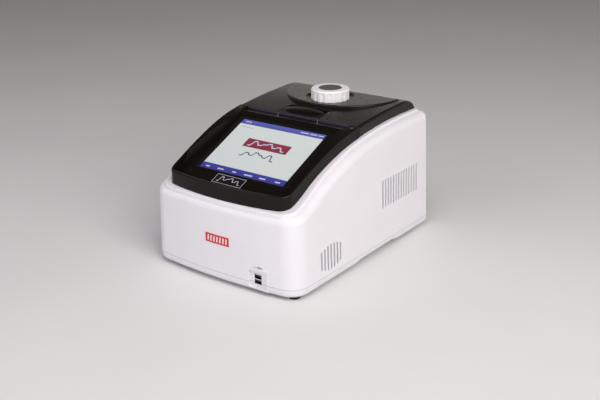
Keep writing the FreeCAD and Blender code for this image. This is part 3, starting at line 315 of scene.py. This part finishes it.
def printed(name, base, rough=0.4, metallic=0.0):
    """Printed or foil marks: slightly uneven ink over a smooth base."""
    s = Shader(name)
    uneven = s.spread(s.noise(size_mm=1.2, detail=3.0), low=0.0, high=1.0)
    s.link(s.mix(uneven, base, scaled(base, 0.82)), s.main.inputs["Base Color"])
    s.main.inputs["Metallic"].default_value = metallic
    matt = s.spread(s.noise(size_mm=2.4, detail=3.0), rough - INK_SPREAD, rough + INK_SPREAD)
    s.link(matt, s.main.inputs["Roughness"])
    s.bump(s.noise(size_mm=0.4, detail=2.0), depth_mm=0.003, strength=0.6)
    return s.material


# ---- materials of the CAD nodes ----------------------------------------------------------------
WHITE = colour(0.745, 0.722, 0.775)
BLACK = colour(0.0062, 0.0047, 0.0034)
# Painted reflection: the purple tint given to the upright front faces of the lid and the lever.
PAINTED_REFLECTION_PURPLE = colour(0.045, 0.04, 0.06)
BOARD_GREEN = colour(0.012, 0.12, 0.045)
CHIP_BLACK = colour(0.014, 0.014, 0.015)
# The main board's upper face; the upright boards have no face to tell by, so theirs is out of reach.
MAIN_BOARD_TOP = 0.0237
NO_BOARD_TOP = 1.0

# How brushing stretches a metal's grain: fine along the axes with large numbers, long along the others.
BRUSHED_Y = (20.0, 1200.0, 20.0)
TURNED_X = (1200.0, 20.0, 60.0)
FIN_FACES = (10.0, 900.0, 900.0)
TURNED_Z = (40.0, 40.0, 1500.0)

casing = moulded_plastic("casing_white", WHITE, rough=0.44, grain_mm=0.8, tint=0.965, edge_wear_highlight_share=1.05,
                         parting=True)
tray = moulded_plastic("tray_white", scaled(WHITE, 0.98), rough=0.46, grain_mm=0.8, grain_depth=0.014,
                       tint=0.95, parting=True)
# The black plastics lighten their edges strongly: partly wear, partly painted highlight.
satin = moulded_plastic("satin_black", BLACK, rough=0.22, grain_depth=0.0015, spread=0.04, tint=0.85,
                        edge_wear_highlight_share=1.8, specular=0.2, grain=0.2)
lid_satin = moulded_plastic("lid_black", scaled(BLACK, 1.2), rough=0.27, grain_depth=0.0012, spread=0.03,
                            tint=0.85, edge_wear_highlight_share=1.8, specular=0.34, painted_front_reflection=PAINTED_REFLECTION_PURPLE, grain=0.15)
lever_satin = moulded_plastic("lever_black", scaled(BLACK, 0.9), rough=0.36, grain_mm=0.6,
                              grain_depth=0.002, spread=0.04, tint=0.85, edge_wear_highlight_share=1.5, specular=0.12,
                              painted_front_reflection=PAINTED_REFLECTION_PURPLE, grain=0.25)
inner_grey = moulded_plastic("inner_grey", colour(0.11, 0.11, 0.115), rough=0.5, grain_mm=0.6,
                             grain_depth=0.02)
knob_white = moulded_plastic("knob_white", colour(0.86, 0.83, 0.87), rough=0.42, grain_mm=0.6, tint=0.95)
knob_grey = moulded_plastic("knob_grey", colour(0.075, 0.068, 0.063), rough=0.55, grain_mm=0.5,
                            grain_depth=0.02)
nylon = moulded_plastic("black_nylon", colour(0.018, 0.018, 0.02), rough=0.45, grain_mm=0.5,
                        grain_depth=0.02, edge_wear_highlight_share=2.0)
ceramic = moulded_plastic("ceramic_white", colour(0.78, 0.76, 0.7), rough=0.5, grain_mm=0.4,
                          grain_depth=0.01)
red_label = moulded_plastic("badge_red", colour(0.56, 0.008, 0.014), rough=0.3, grain_mm=0.5,
                            grain_depth=0.004, coat=0.4)
dark_label = moulded_plastic("badge_dark", colour(0.006, 0.006, 0.008), rough=0.22, grain_mm=0.5,
                             grain_depth=0.003, coat=0.5)
smoked = moulded_plastic("light_pipe", colour(0.02, 0.02, 0.024), rough=0.15, grain_mm=0.4,
                         grain_depth=0.003, coat=0.6)
panel_paint = moulded_plastic("panel_grey", colour(0.36, 0.36, 0.37), rough=0.5, grain_mm=1.1,
                              grain_depth=0.03)
foot_rubber = rubber("rubber_black", colour(0.012, 0.012, 0.012))
silicone = rubber("silicone", colour(0.32, 0.32, 0.3))
mat_orange = rubber("mat_orange", colour(0.42, 0.11, 0.025))
steel = metal("steel_plain", colour(0.56, 0.56, 0.57), rough=0.34, stretch=BRUSHED_Y)
zinc = metal("steel_zinc", colour(0.6, 0.6, 0.58), rough=0.42, depth=0.01, size=7.0)
screws = metal("screw_steel", colour(0.55, 0.55, 0.56), rough=0.3, stretch=TURNED_X)
block_metal = metal("aluminium_plain", colour(0.76, 0.76, 0.77), rough=0.38, depth=0.008, size=0.4)
fin_metal = metal("aluminium_fin", colour(0.7, 0.7, 0.71), rough=0.35, stretch=FIN_FACES)
shell_metal = metal("usb_metal", colour(0.72, 0.72, 0.74), rough=0.2, depth=0.002, size=0.5, spread=0.05)
brass = metal("brass_turned", colour(0.72, 0.53, 0.24), rough=0.3, stretch=TURNED_Z)
main_green = circuit_board("board_green", BOARD_GREEN, MAIN_BOARD_TOP, CHIP_BLACK)
small_green = circuit_board("small_board_green", BOARD_GREEN, NO_BOARD_TOP, CHIP_BLACK)


def cover_glass():
    """The dark border of the display's cover glass: deep black under a glossy, faintly smeared face."""
    s = Shader("screen_glass")
    depth = s.spread(s.noise(size_mm=60.0, detail=2.0), low=0.0, high=1.0)
    s.link(s.mix(depth, colour(0.004, 0.004, 0.005), colour(0.008, 0.007, 0.006)),
           s.main.inputs["Base Color"])
    wiped = s.stretched((1.0, 0.35, 0.35))
    smear = s.noise(size_mm=30.0, detail=6.0, roughness=0.7, vector=wiped, distortion=0.8)
    s.link(s.spread(smear, low=0.07, high=0.2), s.main.inputs["Roughness"])
    s.bump(s.noise(size_mm=90.0, detail=1.0), depth_mm=0.02, strength=0.2)
    return s.material


def fuse_glass():
    """The fuse: a clear tube between two metal caps."""
    s = Shader("fuse_glass")
    from_middle = s.math("ABSOLUTE", s.math("SUBTRACT", s.height_of("X"), FUSE_X))
    metal_end = s.spread(from_middle, 0.0, 1.0, *FUSE_CAP)
    cloud = s.spread(s.noise(size_mm=2.0), low=0.0, high=1.0)
    tint = s.mix(cloud, colour(0.8, 0.84, 0.82), colour(0.9, 0.92, 0.9))
    s.link(s.mix(metal_end, tint, colour(0.6, 0.6, 0.6)), s.main.inputs["Base Color"])
    s.link(metal_end, s.main.inputs["Metallic"])
    s.link(s.spread(s.noise(size_mm=3.0), low=0.05, high=0.15), s.main.inputs["Roughness"])
    clear = s.math("SUBTRACT", FUSE_CLEAR, s.math("MULTIPLY", metal_end, FUSE_CLEAR))
    s.link(clear, s.main.inputs["Transmission Weight"])
    return s.material


MATERIAL_NODES = [
    (casing, ["upper_housing"]),
    (tray, ["base_tray"]),
    (satin, ["screen_bezel"]),
    (lever_satin, ["latch_lever"]),
    (lid_satin, ["lid_cover"]),
    (inner_grey, ["lid_liner", "block_surround"]),
    (knob_white, ["knob"]),
    (knob_grey, ["knob_cap", "bezel_screw_covers"]),
    (nylon, ["usb_tongues", "plate_carrier", "fan_frames", "fan_rotor_left", "fan_rotor_right",
             "power_inlet", "fuse_drawer", "switch_housing", "power_rocker"]),
    (ceramic, ["peltier_modules"]),
    (red_label, ["front_plate"]),
    (dark_label, ["badge_plate"]),
    (smoked, ["status_light"]),
    (panel_paint, ["rear_panel"]),
    (foot_rubber, ["rubber_feet"]),
    (silicone, ["block_gasket"]),
    (mat_orange, ["heater_mat"]),
    (steel, ["hinge_brackets", "lid_hinge_arms", "latch_striker", "shaft_collar"]),
    (zinc, ["display_module", "fan_shelf", "chassis_plate", "power_supply"]),
    (screws, ["foot_screws", "casing_screws", "liner_screws", "hinge_pins", "latch_pin", "latch_clips",
              "knob_shaft", "guide_posts", "block_screws", "surround_screws"]),
    (block_metal, ["heated_plate", "sample_block", "surround_spacers", "sink_supports"]),
    (fin_metal, ["heat_sink"]),
    (shell_metal, ["usb_connector"]),
    (brass, ["shaft_bush", "board_standoffs"]),
    (main_green, ["main_board"]),
    (small_green, ["usb_board", "display_board"]),
    (cover_glass(), ["touch_screen"]),
    (fuse_glass(), ["fuse_link"]),
]
for material, names in MATERIAL_NODES:
    for node_name in names:
        data = NODES[node_name].data
        data.materials.clear()
        data.materials.append(material)


# ---- mesh helpers ---------------------------------------------------------------------------
MERGE_WITHIN = 1e-7
# A stroke's corner reaches out no more than the width divided by this.
SHARPEST_MITRE = 0.4


def piece(name, mesh_maker, material, body):
    """Makes an object from a bmesh-filling function, and has it ride on a body."""
    mesh = bpy.data.meshes.new(name)
    bm = bmesh.new()
    mesh_maker(bm)
    bmesh.ops.remove_doubles(bm, verts=bm.verts, dist=MERGE_WITHIN)
    bmesh.ops.recalc_face_normals(bm, faces=bm.faces)
    bm.to_mesh(mesh)
    bm.free()
    mesh.materials.append(material)
    made = bpy.data.objects.new(name, mesh)
    bpy.context.scene.collection.objects.link(made)
    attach(made, body)
    return made


def slab(bm, outline, place, bottom, top, bevel=0.0):
    """A thin plate with bevelled upper edges, from a flat outline and a function that places it."""
    inset = []
    count = len(outline)
    for index, point in enumerate(outline):
        into = (Vector(point) - Vector(outline[index - 1])).normalized()
        out = (Vector(outline[(index + 1) % count]) - Vector(point)).normalized()
        inward = Vector((-into.y - out.y, into.x + out.x))
        inset.append(Vector(point) + inward.normalized() * bevel)
    rings = [
        [bm.verts.new(place(u, v, bottom)) for u, v in outline],
        [bm.verts.new(place(u, v, top - bevel * 0.5)) for u, v in outline],
        [bm.verts.new(place(p.x, p.y, top)) for p in inset],
    ]
    for low, high in zip(rings, rings[1:]):
        for index in range(count):
            after = (index + 1) % count
            bm.faces.new((low[index], low[after], high[after], high[index]))
    bm.faces.new(list(reversed(rings[0])))
    bm.faces.new(rings[-1])


def rounded(x0, x1, y0, y1, radius, steps=5):
    """An anticlockwise rounded rectangle."""
    points = []
    corners = ((x1 - radius, y0 + radius, -90), (x1 - radius, y1 - radius, 0),
               (x0 + radius, y1 - radius, 90), (x0 + radius, y0 + radius, 180))
    for cx, cy, start in corners:
        for step in range(steps + 1):
            angle = math.radians(start + 90.0 * step / steps)
            points.append((cx + radius * math.cos(angle), cy + radius * math.sin(angle)))
    return points


def stroke(bm, line, width, place, bottom, top, bevel=0.0):
    """A raised line of even width along a path, with mitred corners."""
    left = []
    right = []
    for index, point in enumerate(line):
        here = Vector(point)
        before = Vector(line[max(index - 1, 0)])
        after = Vector(line[min(index + 1, len(line) - 1)])
        into = (here - before).normalized() if index > 0 else (after - here).normalized()
        out = (after - here).normalized() if index < len(line) - 1 else into
        normal = Vector((-into.y - out.y, into.x + out.x)).normalized()
        reach = width / 2 / max(normal.dot(Vector((-out.y, out.x))), SHARPEST_MITRE)
        left.append(tuple(here + normal * reach))
        right.append(tuple(here - normal * reach))
    slab(bm, right + list(reversed(left)), place, bottom, top, bevel)


def on_screen(x, s, lift):
    """A point on the display: across, up its slope, and out of the glass, in metres."""
    return (
        SCREEN_MIDDLE.x + x,
        SCREEN_MIDDLE.y + s * math.cos(SCREEN_TILT) - lift * math.sin(SCREEN_TILT),
        SCREEN_MIDDLE.z + s * math.sin(SCREEN_TILT) + lift * math.cos(SCREEN_TILT),
    )


# ---- display graphics -------------------------------------------------------------------------
LAYER = 0.00005
MARK_STEPS = 3


def screen_piece(name, shapes, material, layer):
    """Flat lit shapes on the display, each an outline; a layer stands a little over the one below."""
    def maker(bm):
        for outline in shapes:
            slab(bm, outline, on_screen, -LAYER, layer * LAYER)
    return piece(name, maker, material, CABINET)


def line_piece(name, line, width, place, bottom, top, material):
    """One raised line on a face of the cabinet."""
    def maker(bm):
        stroke(bm, line, width, place, bottom, top)
    return piece(name, maker, material, CABINET)


def rectangle(x0, x1, s0, s1):
    """An anticlockwise rectangle."""
    return [(x0, s0), (x1, s0), (x1, s1), (x0, s1)]


def profile_line(x0, x1, low, high, levels):
    """A stepped temperature profile, drawn as a line from left to right."""
    points = []
    step = (x1 - x0) / len(levels)
    ramp = step * PROFILE_RAMP
    for index, level in enumerate(levels):
        height = low + (high - low) * level
        points.append((x0 + index * step + ramp, height))
        points.append((x0 + (index + 1) * step - ramp, height))
    return points


# The levels of one temperature cycle after another, and the share of a step each ramp takes.
PROFILE = (0.0, 1.0, 0.35, 0.7, 1.0, 0.35, 0.7, 0.0)
PROFILE_RAMP = 0.22

SCREEN_WHITE = colour(0.425, 0.46, 0.46)
INK_DARK = colour(0.02, 0.02, 0.045)
INK_LIGHT = colour(0.4, 0.42, 0.52)
INK_GREY = colour(0.3, 0.34, 0.36)
# Where the gradients of the evenly coloured areas run from and to, up the slope.
FIELD_SPAN = (-0.06, 0.06)
INK_SPAN = (-0.02, 0.0)
BANNER_SPAN = (0.0, 0.022)

panel_white = lit_panel("display_white", SCREEN_WHITE, scaled(SCREEN_WHITE, 0.97), *FIELD_SPAN,
                        glow=0.5, speck=0.1)
bar_top = lit_panel("display_top_bar", colour(0.075, 0.1, 0.36), colour(0.075, 0.065, 0.27),
                    TOP_BAR, HALF_HEIGHT, glow=0.3)
bar_low = lit_panel("display_low_bar", colour(0.035, 0.045, 0.25), colour(0.04, 0.035, 0.19),
                    -HALF_HEIGHT, LOW_BAR, glow=0.3)
banner_red = lit_panel("display_banner", colour(0.2, 0.03, 0.052), colour(0.165, 0.025, 0.043),
                       *BANNER_SPAN, glow=0.35)
ink_dark = lit_panel("display_ink", INK_DARK, INK_DARK, *INK_SPAN, glow=0.2)
ink_light = lit_panel("display_light", INK_LIGHT, INK_LIGHT, *FIELD_SPAN, glow=0.3)
ink_grey = lit_panel("display_grey", INK_GREY, INK_GREY, *FIELD_SPAN, glow=0.3)

screen_piece("display_field", [rectangle(-HALF_WIDTH, HALF_WIDTH, LOW_BAR, TOP_BAR)], panel_white, layer=1)
screen_piece("display_bar_top", [rectangle(-HALF_WIDTH, HALF_WIDTH, TOP_BAR, HALF_HEIGHT)], bar_top, layer=1)
screen_piece("display_bar_low", [rectangle(-HALF_WIDTH, HALF_WIDTH, -HALF_HEIGHT, LOW_BAR)], bar_low, layer=1)

# The banner, and the temperature profiles on it and below it: across, then up the slope.
BANNER = (-0.042, 0.0425, 0.0018, 0.0212)
BANNER_CORNER = 0.0012
BANNER_PROFILE = (-0.037, 0.0375, 0.0062, 0.0168)
BANNER_LINE = 0.0022
LOW_PROFILE = (-0.0355, 0.0335, -0.0185, -0.0068)
LOW_LINE = 0.0017
screen_piece("display_banner", [rounded(*BANNER, BANNER_CORNER)], banner_red, layer=2)
line_piece("display_banner_profile", profile_line(*BANNER_PROFILE, PROFILE), BANNER_LINE,
           on_screen, -LAYER, 3 * LAYER, ink_light)
line_piece("display_profile", profile_line(*LOW_PROFILE, PROFILE[::-1]), LOW_LINE,
           on_screen, -LAYER, 2 * LAYER, ink_dark)

# Blank buttons on the low bar, as middle and width; blank fields on the top bar and under it.
BUTTONS = ((-0.0674, 0.008), (-0.0417, 0.0125), (-0.0145, 0.0075), (0.0125, 0.016), (0.0396, 0.012),
           (0.068, 0.0095))
BUTTON_ROW = (-0.0571, -0.0545)
BUTTON_CORNER = 0.0009
FIELDS = ((-0.0742, -0.0625), (0.0352, 0.051), (0.0535, 0.0665), (0.069, 0.079))
FIELD_ROW = (0.0552, 0.0574)
FIELD_CORNER = 0.0008
STATUS_FIELDS = ((-0.0735, -0.0655), (-0.064, -0.0493))
STATUS_ROW = (0.0429, 0.0443)
STATUS_CORNER = 0.0005

buttons = [rounded(x - width / 2, x + width / 2, *BUTTON_ROW, BUTTON_CORNER, MARK_STEPS)
           for x, width in BUTTONS]
fields = [rounded(x0, x1, *FIELD_ROW, FIELD_CORNER, MARK_STEPS) for x0, x1 in FIELDS]
status_fields = [rounded(x0, x1, *STATUS_ROW, STATUS_CORNER, MARK_STEPS) for x0, x1 in STATUS_FIELDS]
screen_piece("display_marks", buttons + fields, ink_light, layer=2)
screen_piece("display_status_line", status_fields, ink_grey, layer=2)


# ---- name badge ---------------------------------------------------------------------------------
# The badge's face over the slope, its middle and half its size; marks are let in by MARK_FOOT.
BADGE_LIFT = 0.0015
BADGE_MIDDLE = Vector((-0.00875, -0.07635))
BADGE_HALF = Vector((0.02855, 0.00995))
BADGE_FRAME = (0.0006, 0.0014)
BADGE_FRAME_TOP = 0.00015
BADGE_PROFILE = (-0.0235, 0.0235, -0.0048, 0.0052)
BADGE_LINE = 0.0013
MARK_FOOT = -0.0002
MARK_TOP = 0.00012


def on_badge(x, s, lift):
    """A point on the name badge: from its middle, across and up the slope, and out of its face."""
    return on_screen(BADGE_MIDDLE.x + x, BADGE_MIDDLE.y + s, BADGE_LIFT + lift)


silver = printed("badge_silver", colour(0.62, 0.62, 0.68), rough=0.35, metallic=0.3)


def badge_frame(bm):
    """The silver outline of the badge: a closed frame near its edge."""
    def corners(inset):
        x = BADGE_HALF.x - inset
        s = BADGE_HALF.y - inset
        return [(-x, -s), (x, -s), (x, s), (-x, s)]

    outer, inner = (corners(inset) for inset in BADGE_FRAME)
    for index in range(len(outer)):
        after = (index + 1) % len(outer)
        side = [outer[index], outer[after], inner[after], inner[index]]
        slab(bm, side, on_badge, MARK_FOOT, BADGE_FRAME_TOP)


piece("badge_outline", badge_frame, silver, CABINET)
line_piece("badge_profile", profile_line(*BADGE_PROFILE, PROFILE), BADGE_LINE,
           on_badge, MARK_FOOT, MARK_TOP, silver)


# ---- marks on the casing and the lid -------------------------------------------------------------
# The casing's front wall, in millimetres: how far forward it stands where the halves meet, how much it
# draws back for each millimetre up or down, and how much it bows for each square millimetre across.
FRONT_REACH = 391.2 / 2
FRONT_DRAFT = 0.0171
FRONT_BOW = 0.0005


def front_y(x, z):
    """The casing's bowed and drafted front wall."""
    drawn_back = FRONT_DRAFT * abs(z - PARTING_Z) / MM
    bowed = FRONT_BOW * (x / MM) ** 2
    return (drawn_back + bowed - FRONT_REACH) * MM


def on_front(lift_from):
    """Places points over the front wall: across, up, and out from a face that stands lift_from proud."""
    def place(x, z, lift):
        return (x, front_y(x, z) - lift_from - lift, z)
    return place


# The bars on the front plate: how proud the plate stands, then the row of bars and one bar's outline.
PLATE_PROUD = 0.0007
PLATE_BARS = 7
PLATE_BAR_START = -0.0175
PLATE_BAR_STEP = 0.0058
PLATE_BAR_FOOT = (-0.0012, 0.0012)
PLATE_BAR_HEAD = (-0.0002, 0.0022)
PLATE_BAR_Z = (0.0675, 0.0765)
PLATE_BAR_TOP = 0.0001

plate_white = printed("plate_white", colour(0.8, 0.78, 0.78))


def plate_bars(bm):
    """A row of plain leaning bars on the front plate."""
    low, high = PLATE_BAR_Z
    for index in range(PLATE_BARS):
        x = PLATE_BAR_START + PLATE_BAR_STEP * index
        outline = [(x + PLATE_BAR_FOOT[0], low), (x + PLATE_BAR_FOOT[1], low),
                   (x + PLATE_BAR_HEAD[1], high), (x + PLATE_BAR_HEAD[0], high)]
        slab(bm, outline, on_front(PLATE_PROUD), MARK_FOOT, PLATE_BAR_TOP)


piece("front_plate_bars", plate_bars, plate_white, CABINET)

# The plug mark, each part measured across from the middle of the ports and up from the floor.
PORT_X = 0.0745
PLUG_BODY = (PORT_X - 0.0005, PORT_X + 0.005, 0.0428, 0.0464)
PLUG_CORNER = 0.0006
PLUG_COLLAR = (PORT_X + 0.0054, PORT_X + 0.0078, 0.0434, 0.0458)
PLUG_LEAD = ((PORT_X - 0.0075, 0.0436), (PORT_X - 0.0045, 0.0436), (PORT_X - 0.0032, 0.0446),
             (PORT_X - 0.0008, 0.0446))
PLUG_LEAD_WIDTH = 0.0008

mark_grey = printed("mark_grey", colour(0.36, 0.36, 0.4), rough=0.45)


def port_mark(bm):
    """A plain plug mark over the ports: a body, a collar and a lead."""
    place = on_front(0.0)
    slab(bm, rounded(*PLUG_BODY, PLUG_CORNER, MARK_STEPS), place, MARK_FOOT, MARK_TOP)
    slab(bm, rectangle(*PLUG_COLLAR), place, MARK_FOOT, MARK_TOP)
    stroke(bm, PLUG_LEAD, PLUG_LEAD_WIDTH, place, MARK_FOOT, MARK_TOP)


piece("port_mark", port_mark, mark_grey, CABINET)

# The arrow on the lid's deck: it bends round the knob, from one angle to the other, in degrees.
KNOB_Y = 0.099
DECK_Z = 0.2265
ARROW_R = 0.0505
ARROW_WIDTH = 0.0032
ARROW_START = 24
ARROW_END = 52
ARROW_TIP = ARROW_END + 9
ARROW_STEPS = 18
ARROW_TOP = 0.00035
ARROW_BEVEL = 0.0001


def on_deck(x, y, lift):
    """A point on the lid's flat deck, and out of it."""
    return (x, y, DECK_Z + lift)


def round_knob(degrees, radius):
    """A point on the deck at an angle round the knob."""
    angle = math.radians(degrees)
    return (radius * math.cos(angle), KNOB_Y + radius * math.sin(angle))


def turn_arrow(bm):
    """A bent arrow round the knob: a curved band and a head."""
    turn = ARROW_END - ARROW_START
    line = [round_knob(ARROW_START + turn * step / ARROW_STEPS, ARROW_R) for step in range(ARROW_STEPS + 1)]
    stroke(bm, line, ARROW_WIDTH, on_deck, MARK_FOOT, ARROW_TOP, ARROW_BEVEL)
    head = [round_knob(ARROW_END, ARROW_R - ARROW_WIDTH), round_knob(ARROW_END, ARROW_R + ARROW_WIDTH),
            round_knob(ARROW_TIP, ARROW_R)]
    slab(bm, head, on_deck, MARK_FOOT, ARROW_TOP, ARROW_BEVEL)


deck_black = moulded_plastic("deck_mark_black", scaled(BLACK, 0.8), rough=0.3, grain_depth=0.01,
                             edge_wear_highlight_share=2.0)
piece("deck_arrow", turn_arrow, deck_black, LID)


# ---- return springs of the latch ---------------------------------------------------------------
COIL_R = 0.0026
COIL_WIRE_R = 0.0004
COIL_PITCH = 0.00165
COIL_TURNS = 5
COIL_STEPS = 24
COIL_SIDES = 10
COIL_PLACES = ((-0.028, 0.03), (0.028, 0.03))
COIL_LOW = 0.2063


def coil_ring(bm, x, y, index):
    """The wire's round section at one step up the helix."""
    turn = math.tau * index / COIL_STEPS
    rise = COIL_PITCH / (math.tau * COIL_R)
    out = Vector((math.cos(turn), math.sin(turn), 0.0))
    side = Vector((-math.sin(turn), math.cos(turn), rise)).normalized().cross(out)
    middle = Vector((x, y, COIL_LOW + COIL_PITCH * index / COIL_STEPS)) + out * COIL_R
    angles = [math.tau * k / COIL_SIDES for k in range(COIL_SIDES)]
    return [bm.verts.new(middle + (out * math.cos(a) + side * math.sin(a)) * COIL_WIRE_R) for a in angles]


def coils(bm):
    """The two return springs: a round wire swept up a helix, closed at both ends."""
    for x, y in COIL_PLACES:
        rings = [coil_ring(bm, x, y, index) for index in range(COIL_TURNS * COIL_STEPS + 1)]
        for low, high in zip(rings, rings[1:]):
            for k in range(COIL_SIDES):
                after = (k + 1) % COIL_SIDES
                bm.faces.new((low[k], low[after], high[after], high[k]))
        bm.faces.new(rings[0])
        bm.faces.new(rings[-1])
    for face in bm.faces:
        face.smooth = len(face.verts) == 4


springs = piece("latch_return_springs", coils, screws, LID)
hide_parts("latch_springs")
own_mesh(springs)


# ---- floor, light and camera ------------------------------------------------------------------------
FLOOR_HALF = 6.0
FLOOR_PALE = colour(0.76, 0.76, 0.77)
FLOOR_SHADE = colour(0.73, 0.73, 0.74)

# Each area light: its place and the point it faces, in metres, its width and height, watts and tint.
MIDDLE = (0.0, 0.0, 0.12)
LIGHTS = (
    ("key_right", (2.0, -0.9, 1.5), MIDDLE, 1.6, 1.6, 46.0, (1.0, 0.955, 0.9)),
    ("fill_front", (-0.9, -2.2, 1.3), MIDDLE, 1.8, 1.6, 16.0, (0.94, 0.89, 1.0)),
    ("overhead", (0.7, -1.0, 2.1), (0.0, -0.05, 0.1), 1.3, 1.3, 20.0, (1.0, 1.0, 1.0)),
)
# The surround's colour from the horizon, 0, to straight up, 1.
WORLD_STOPS = ((0.0, (0.86, 0.86, 0.87)), (0.33, (0.8, 0.77, 0.71)), (0.43, (0.095, 0.09, 0.085)),
               (1.0, (0.064, 0.058, 0.053)))
WORLD_STRENGTH = 0.8

CAMERA_PLACE = (0.86066, -1.13552, 0.61657)
CAMERA_AZIMUTH = 36.8786
CAMERA_ELEVATION = 20.8669
CAMERA_ROLL = -0.7582
CAMERA_LENS = 55.794
CAMERA_SENSOR = 36.0
CAMERA_CLIP = (0.05, 50.0)


def studio_floor():
    """A plain pale floor, not part of the object."""
    mesh = bpy.data.meshes.new("studio_floor")
    bm = bmesh.new()
    corners = rectangle(-FLOOR_HALF, FLOOR_HALF, -FLOOR_HALF, FLOOR_HALF)
    bm.faces.new([bm.verts.new((x, y, 0.0)) for x, y in corners])
    bm.to_mesh(mesh)
    bm.free()
    s = Shader("studio_floor")
    uneven = s.spread(s.noise(size_mm=400.0), low=0.0, high=1.0)
    s.link(s.mix(uneven, FLOOR_PALE, FLOOR_SHADE), s.main.inputs["Base Color"])
    s.link(s.spread(s.noise(size_mm=80.0), low=0.55, high=0.7), s.main.inputs["Roughness"])
    mesh.materials.append(s.material)
    made = bpy.data.objects.new("studio_floor", mesh)
    bpy.context.scene.collection.objects.link(made)


def area_light(name, place, aim, width, height, energy, tint):
    """A soft light that faces a point."""
    data = bpy.data.lights.new(name, "AREA")
    data.shape = "RECTANGLE"
    data.size = width
    data.size_y = height
    data.energy = energy
    data.color = tint
    made = bpy.data.objects.new(name, data)
    made.location = place
    made.rotation_mode = "QUATERNION"
    made.rotation_quaternion = (Vector(aim) - Vector(place)).to_track_quat("-Z", "Y")
    bpy.context.scene.collection.objects.link(made)


def world_light():
    """A studio surround: a pale backdrop up to a little over the horizon, dim above it."""
    world = bpy.data.worlds.new("studio")
    bpy.context.scene.world = world
    world.use_nodes = True
    tree = world.node_tree
    background = tree.nodes["Background"]
    where = tree.nodes.new("ShaderNodeTexCoord")
    split = tree.nodes.new("ShaderNodeSeparateXYZ")
    ramp = tree.nodes.new("ShaderNodeValToRGB")
    while len(ramp.color_ramp.elements) < len(WORLD_STOPS):
        ramp.color_ramp.elements.new(1.0)
    for element, (height, shade) in zip(ramp.color_ramp.elements, WORLD_STOPS):
        element.position = height
        element.color = (*shade, 1.0)
    tree.links.new(where.outputs["Generated"], split.inputs["Vector"])
    tree.links.new(split.outputs["Z"], ramp.inputs["Fac"])
    tree.links.new(ramp.outputs["Color"], background.inputs["Color"])
    background.inputs["Strength"].default_value = WORLD_STRENGTH


def studio_camera():
    """The camera in front and to the right of the object, above it and slightly rolled."""
    azimuth = math.radians(CAMERA_AZIMUTH)
    elevation = math.radians(CAMERA_ELEVATION)
    roll = math.radians(CAMERA_ROLL)
    right = Vector((math.cos(azimuth), math.sin(azimuth), 0.0))
    back = Vector((math.sin(azimuth) * math.cos(elevation), -math.cos(azimuth) * math.cos(elevation),
                   math.sin(elevation)))
    up = back.cross(right)
    turned_right = right * math.cos(roll) + up * math.sin(roll)
    turned_up = up * math.cos(roll) - right * math.sin(roll)
    data = bpy.data.cameras.new("studio_camera")
    data.sensor_width = CAMERA_SENSOR
    data.lens = CAMERA_LENS
    data.clip_start, data.clip_end = CAMERA_CLIP
    camera = bpy.data.objects.new("studio_camera", data)
    rotation = Matrix((turned_right, turned_up, back)).transposed().to_4x4()
    camera.matrix_world = Matrix.Translation(CAMERA_PLACE) @ rotation
    bpy.context.scene.collection.objects.link(camera)
    bpy.context.scene.camera = camera


studio_floor()
for light in LIGHTS:
    area_light(*light)
world_light()
studio_camera()
bpy.context.scene.view_settings.view_transform = "Standard"
bpy.context.view_layer.update()
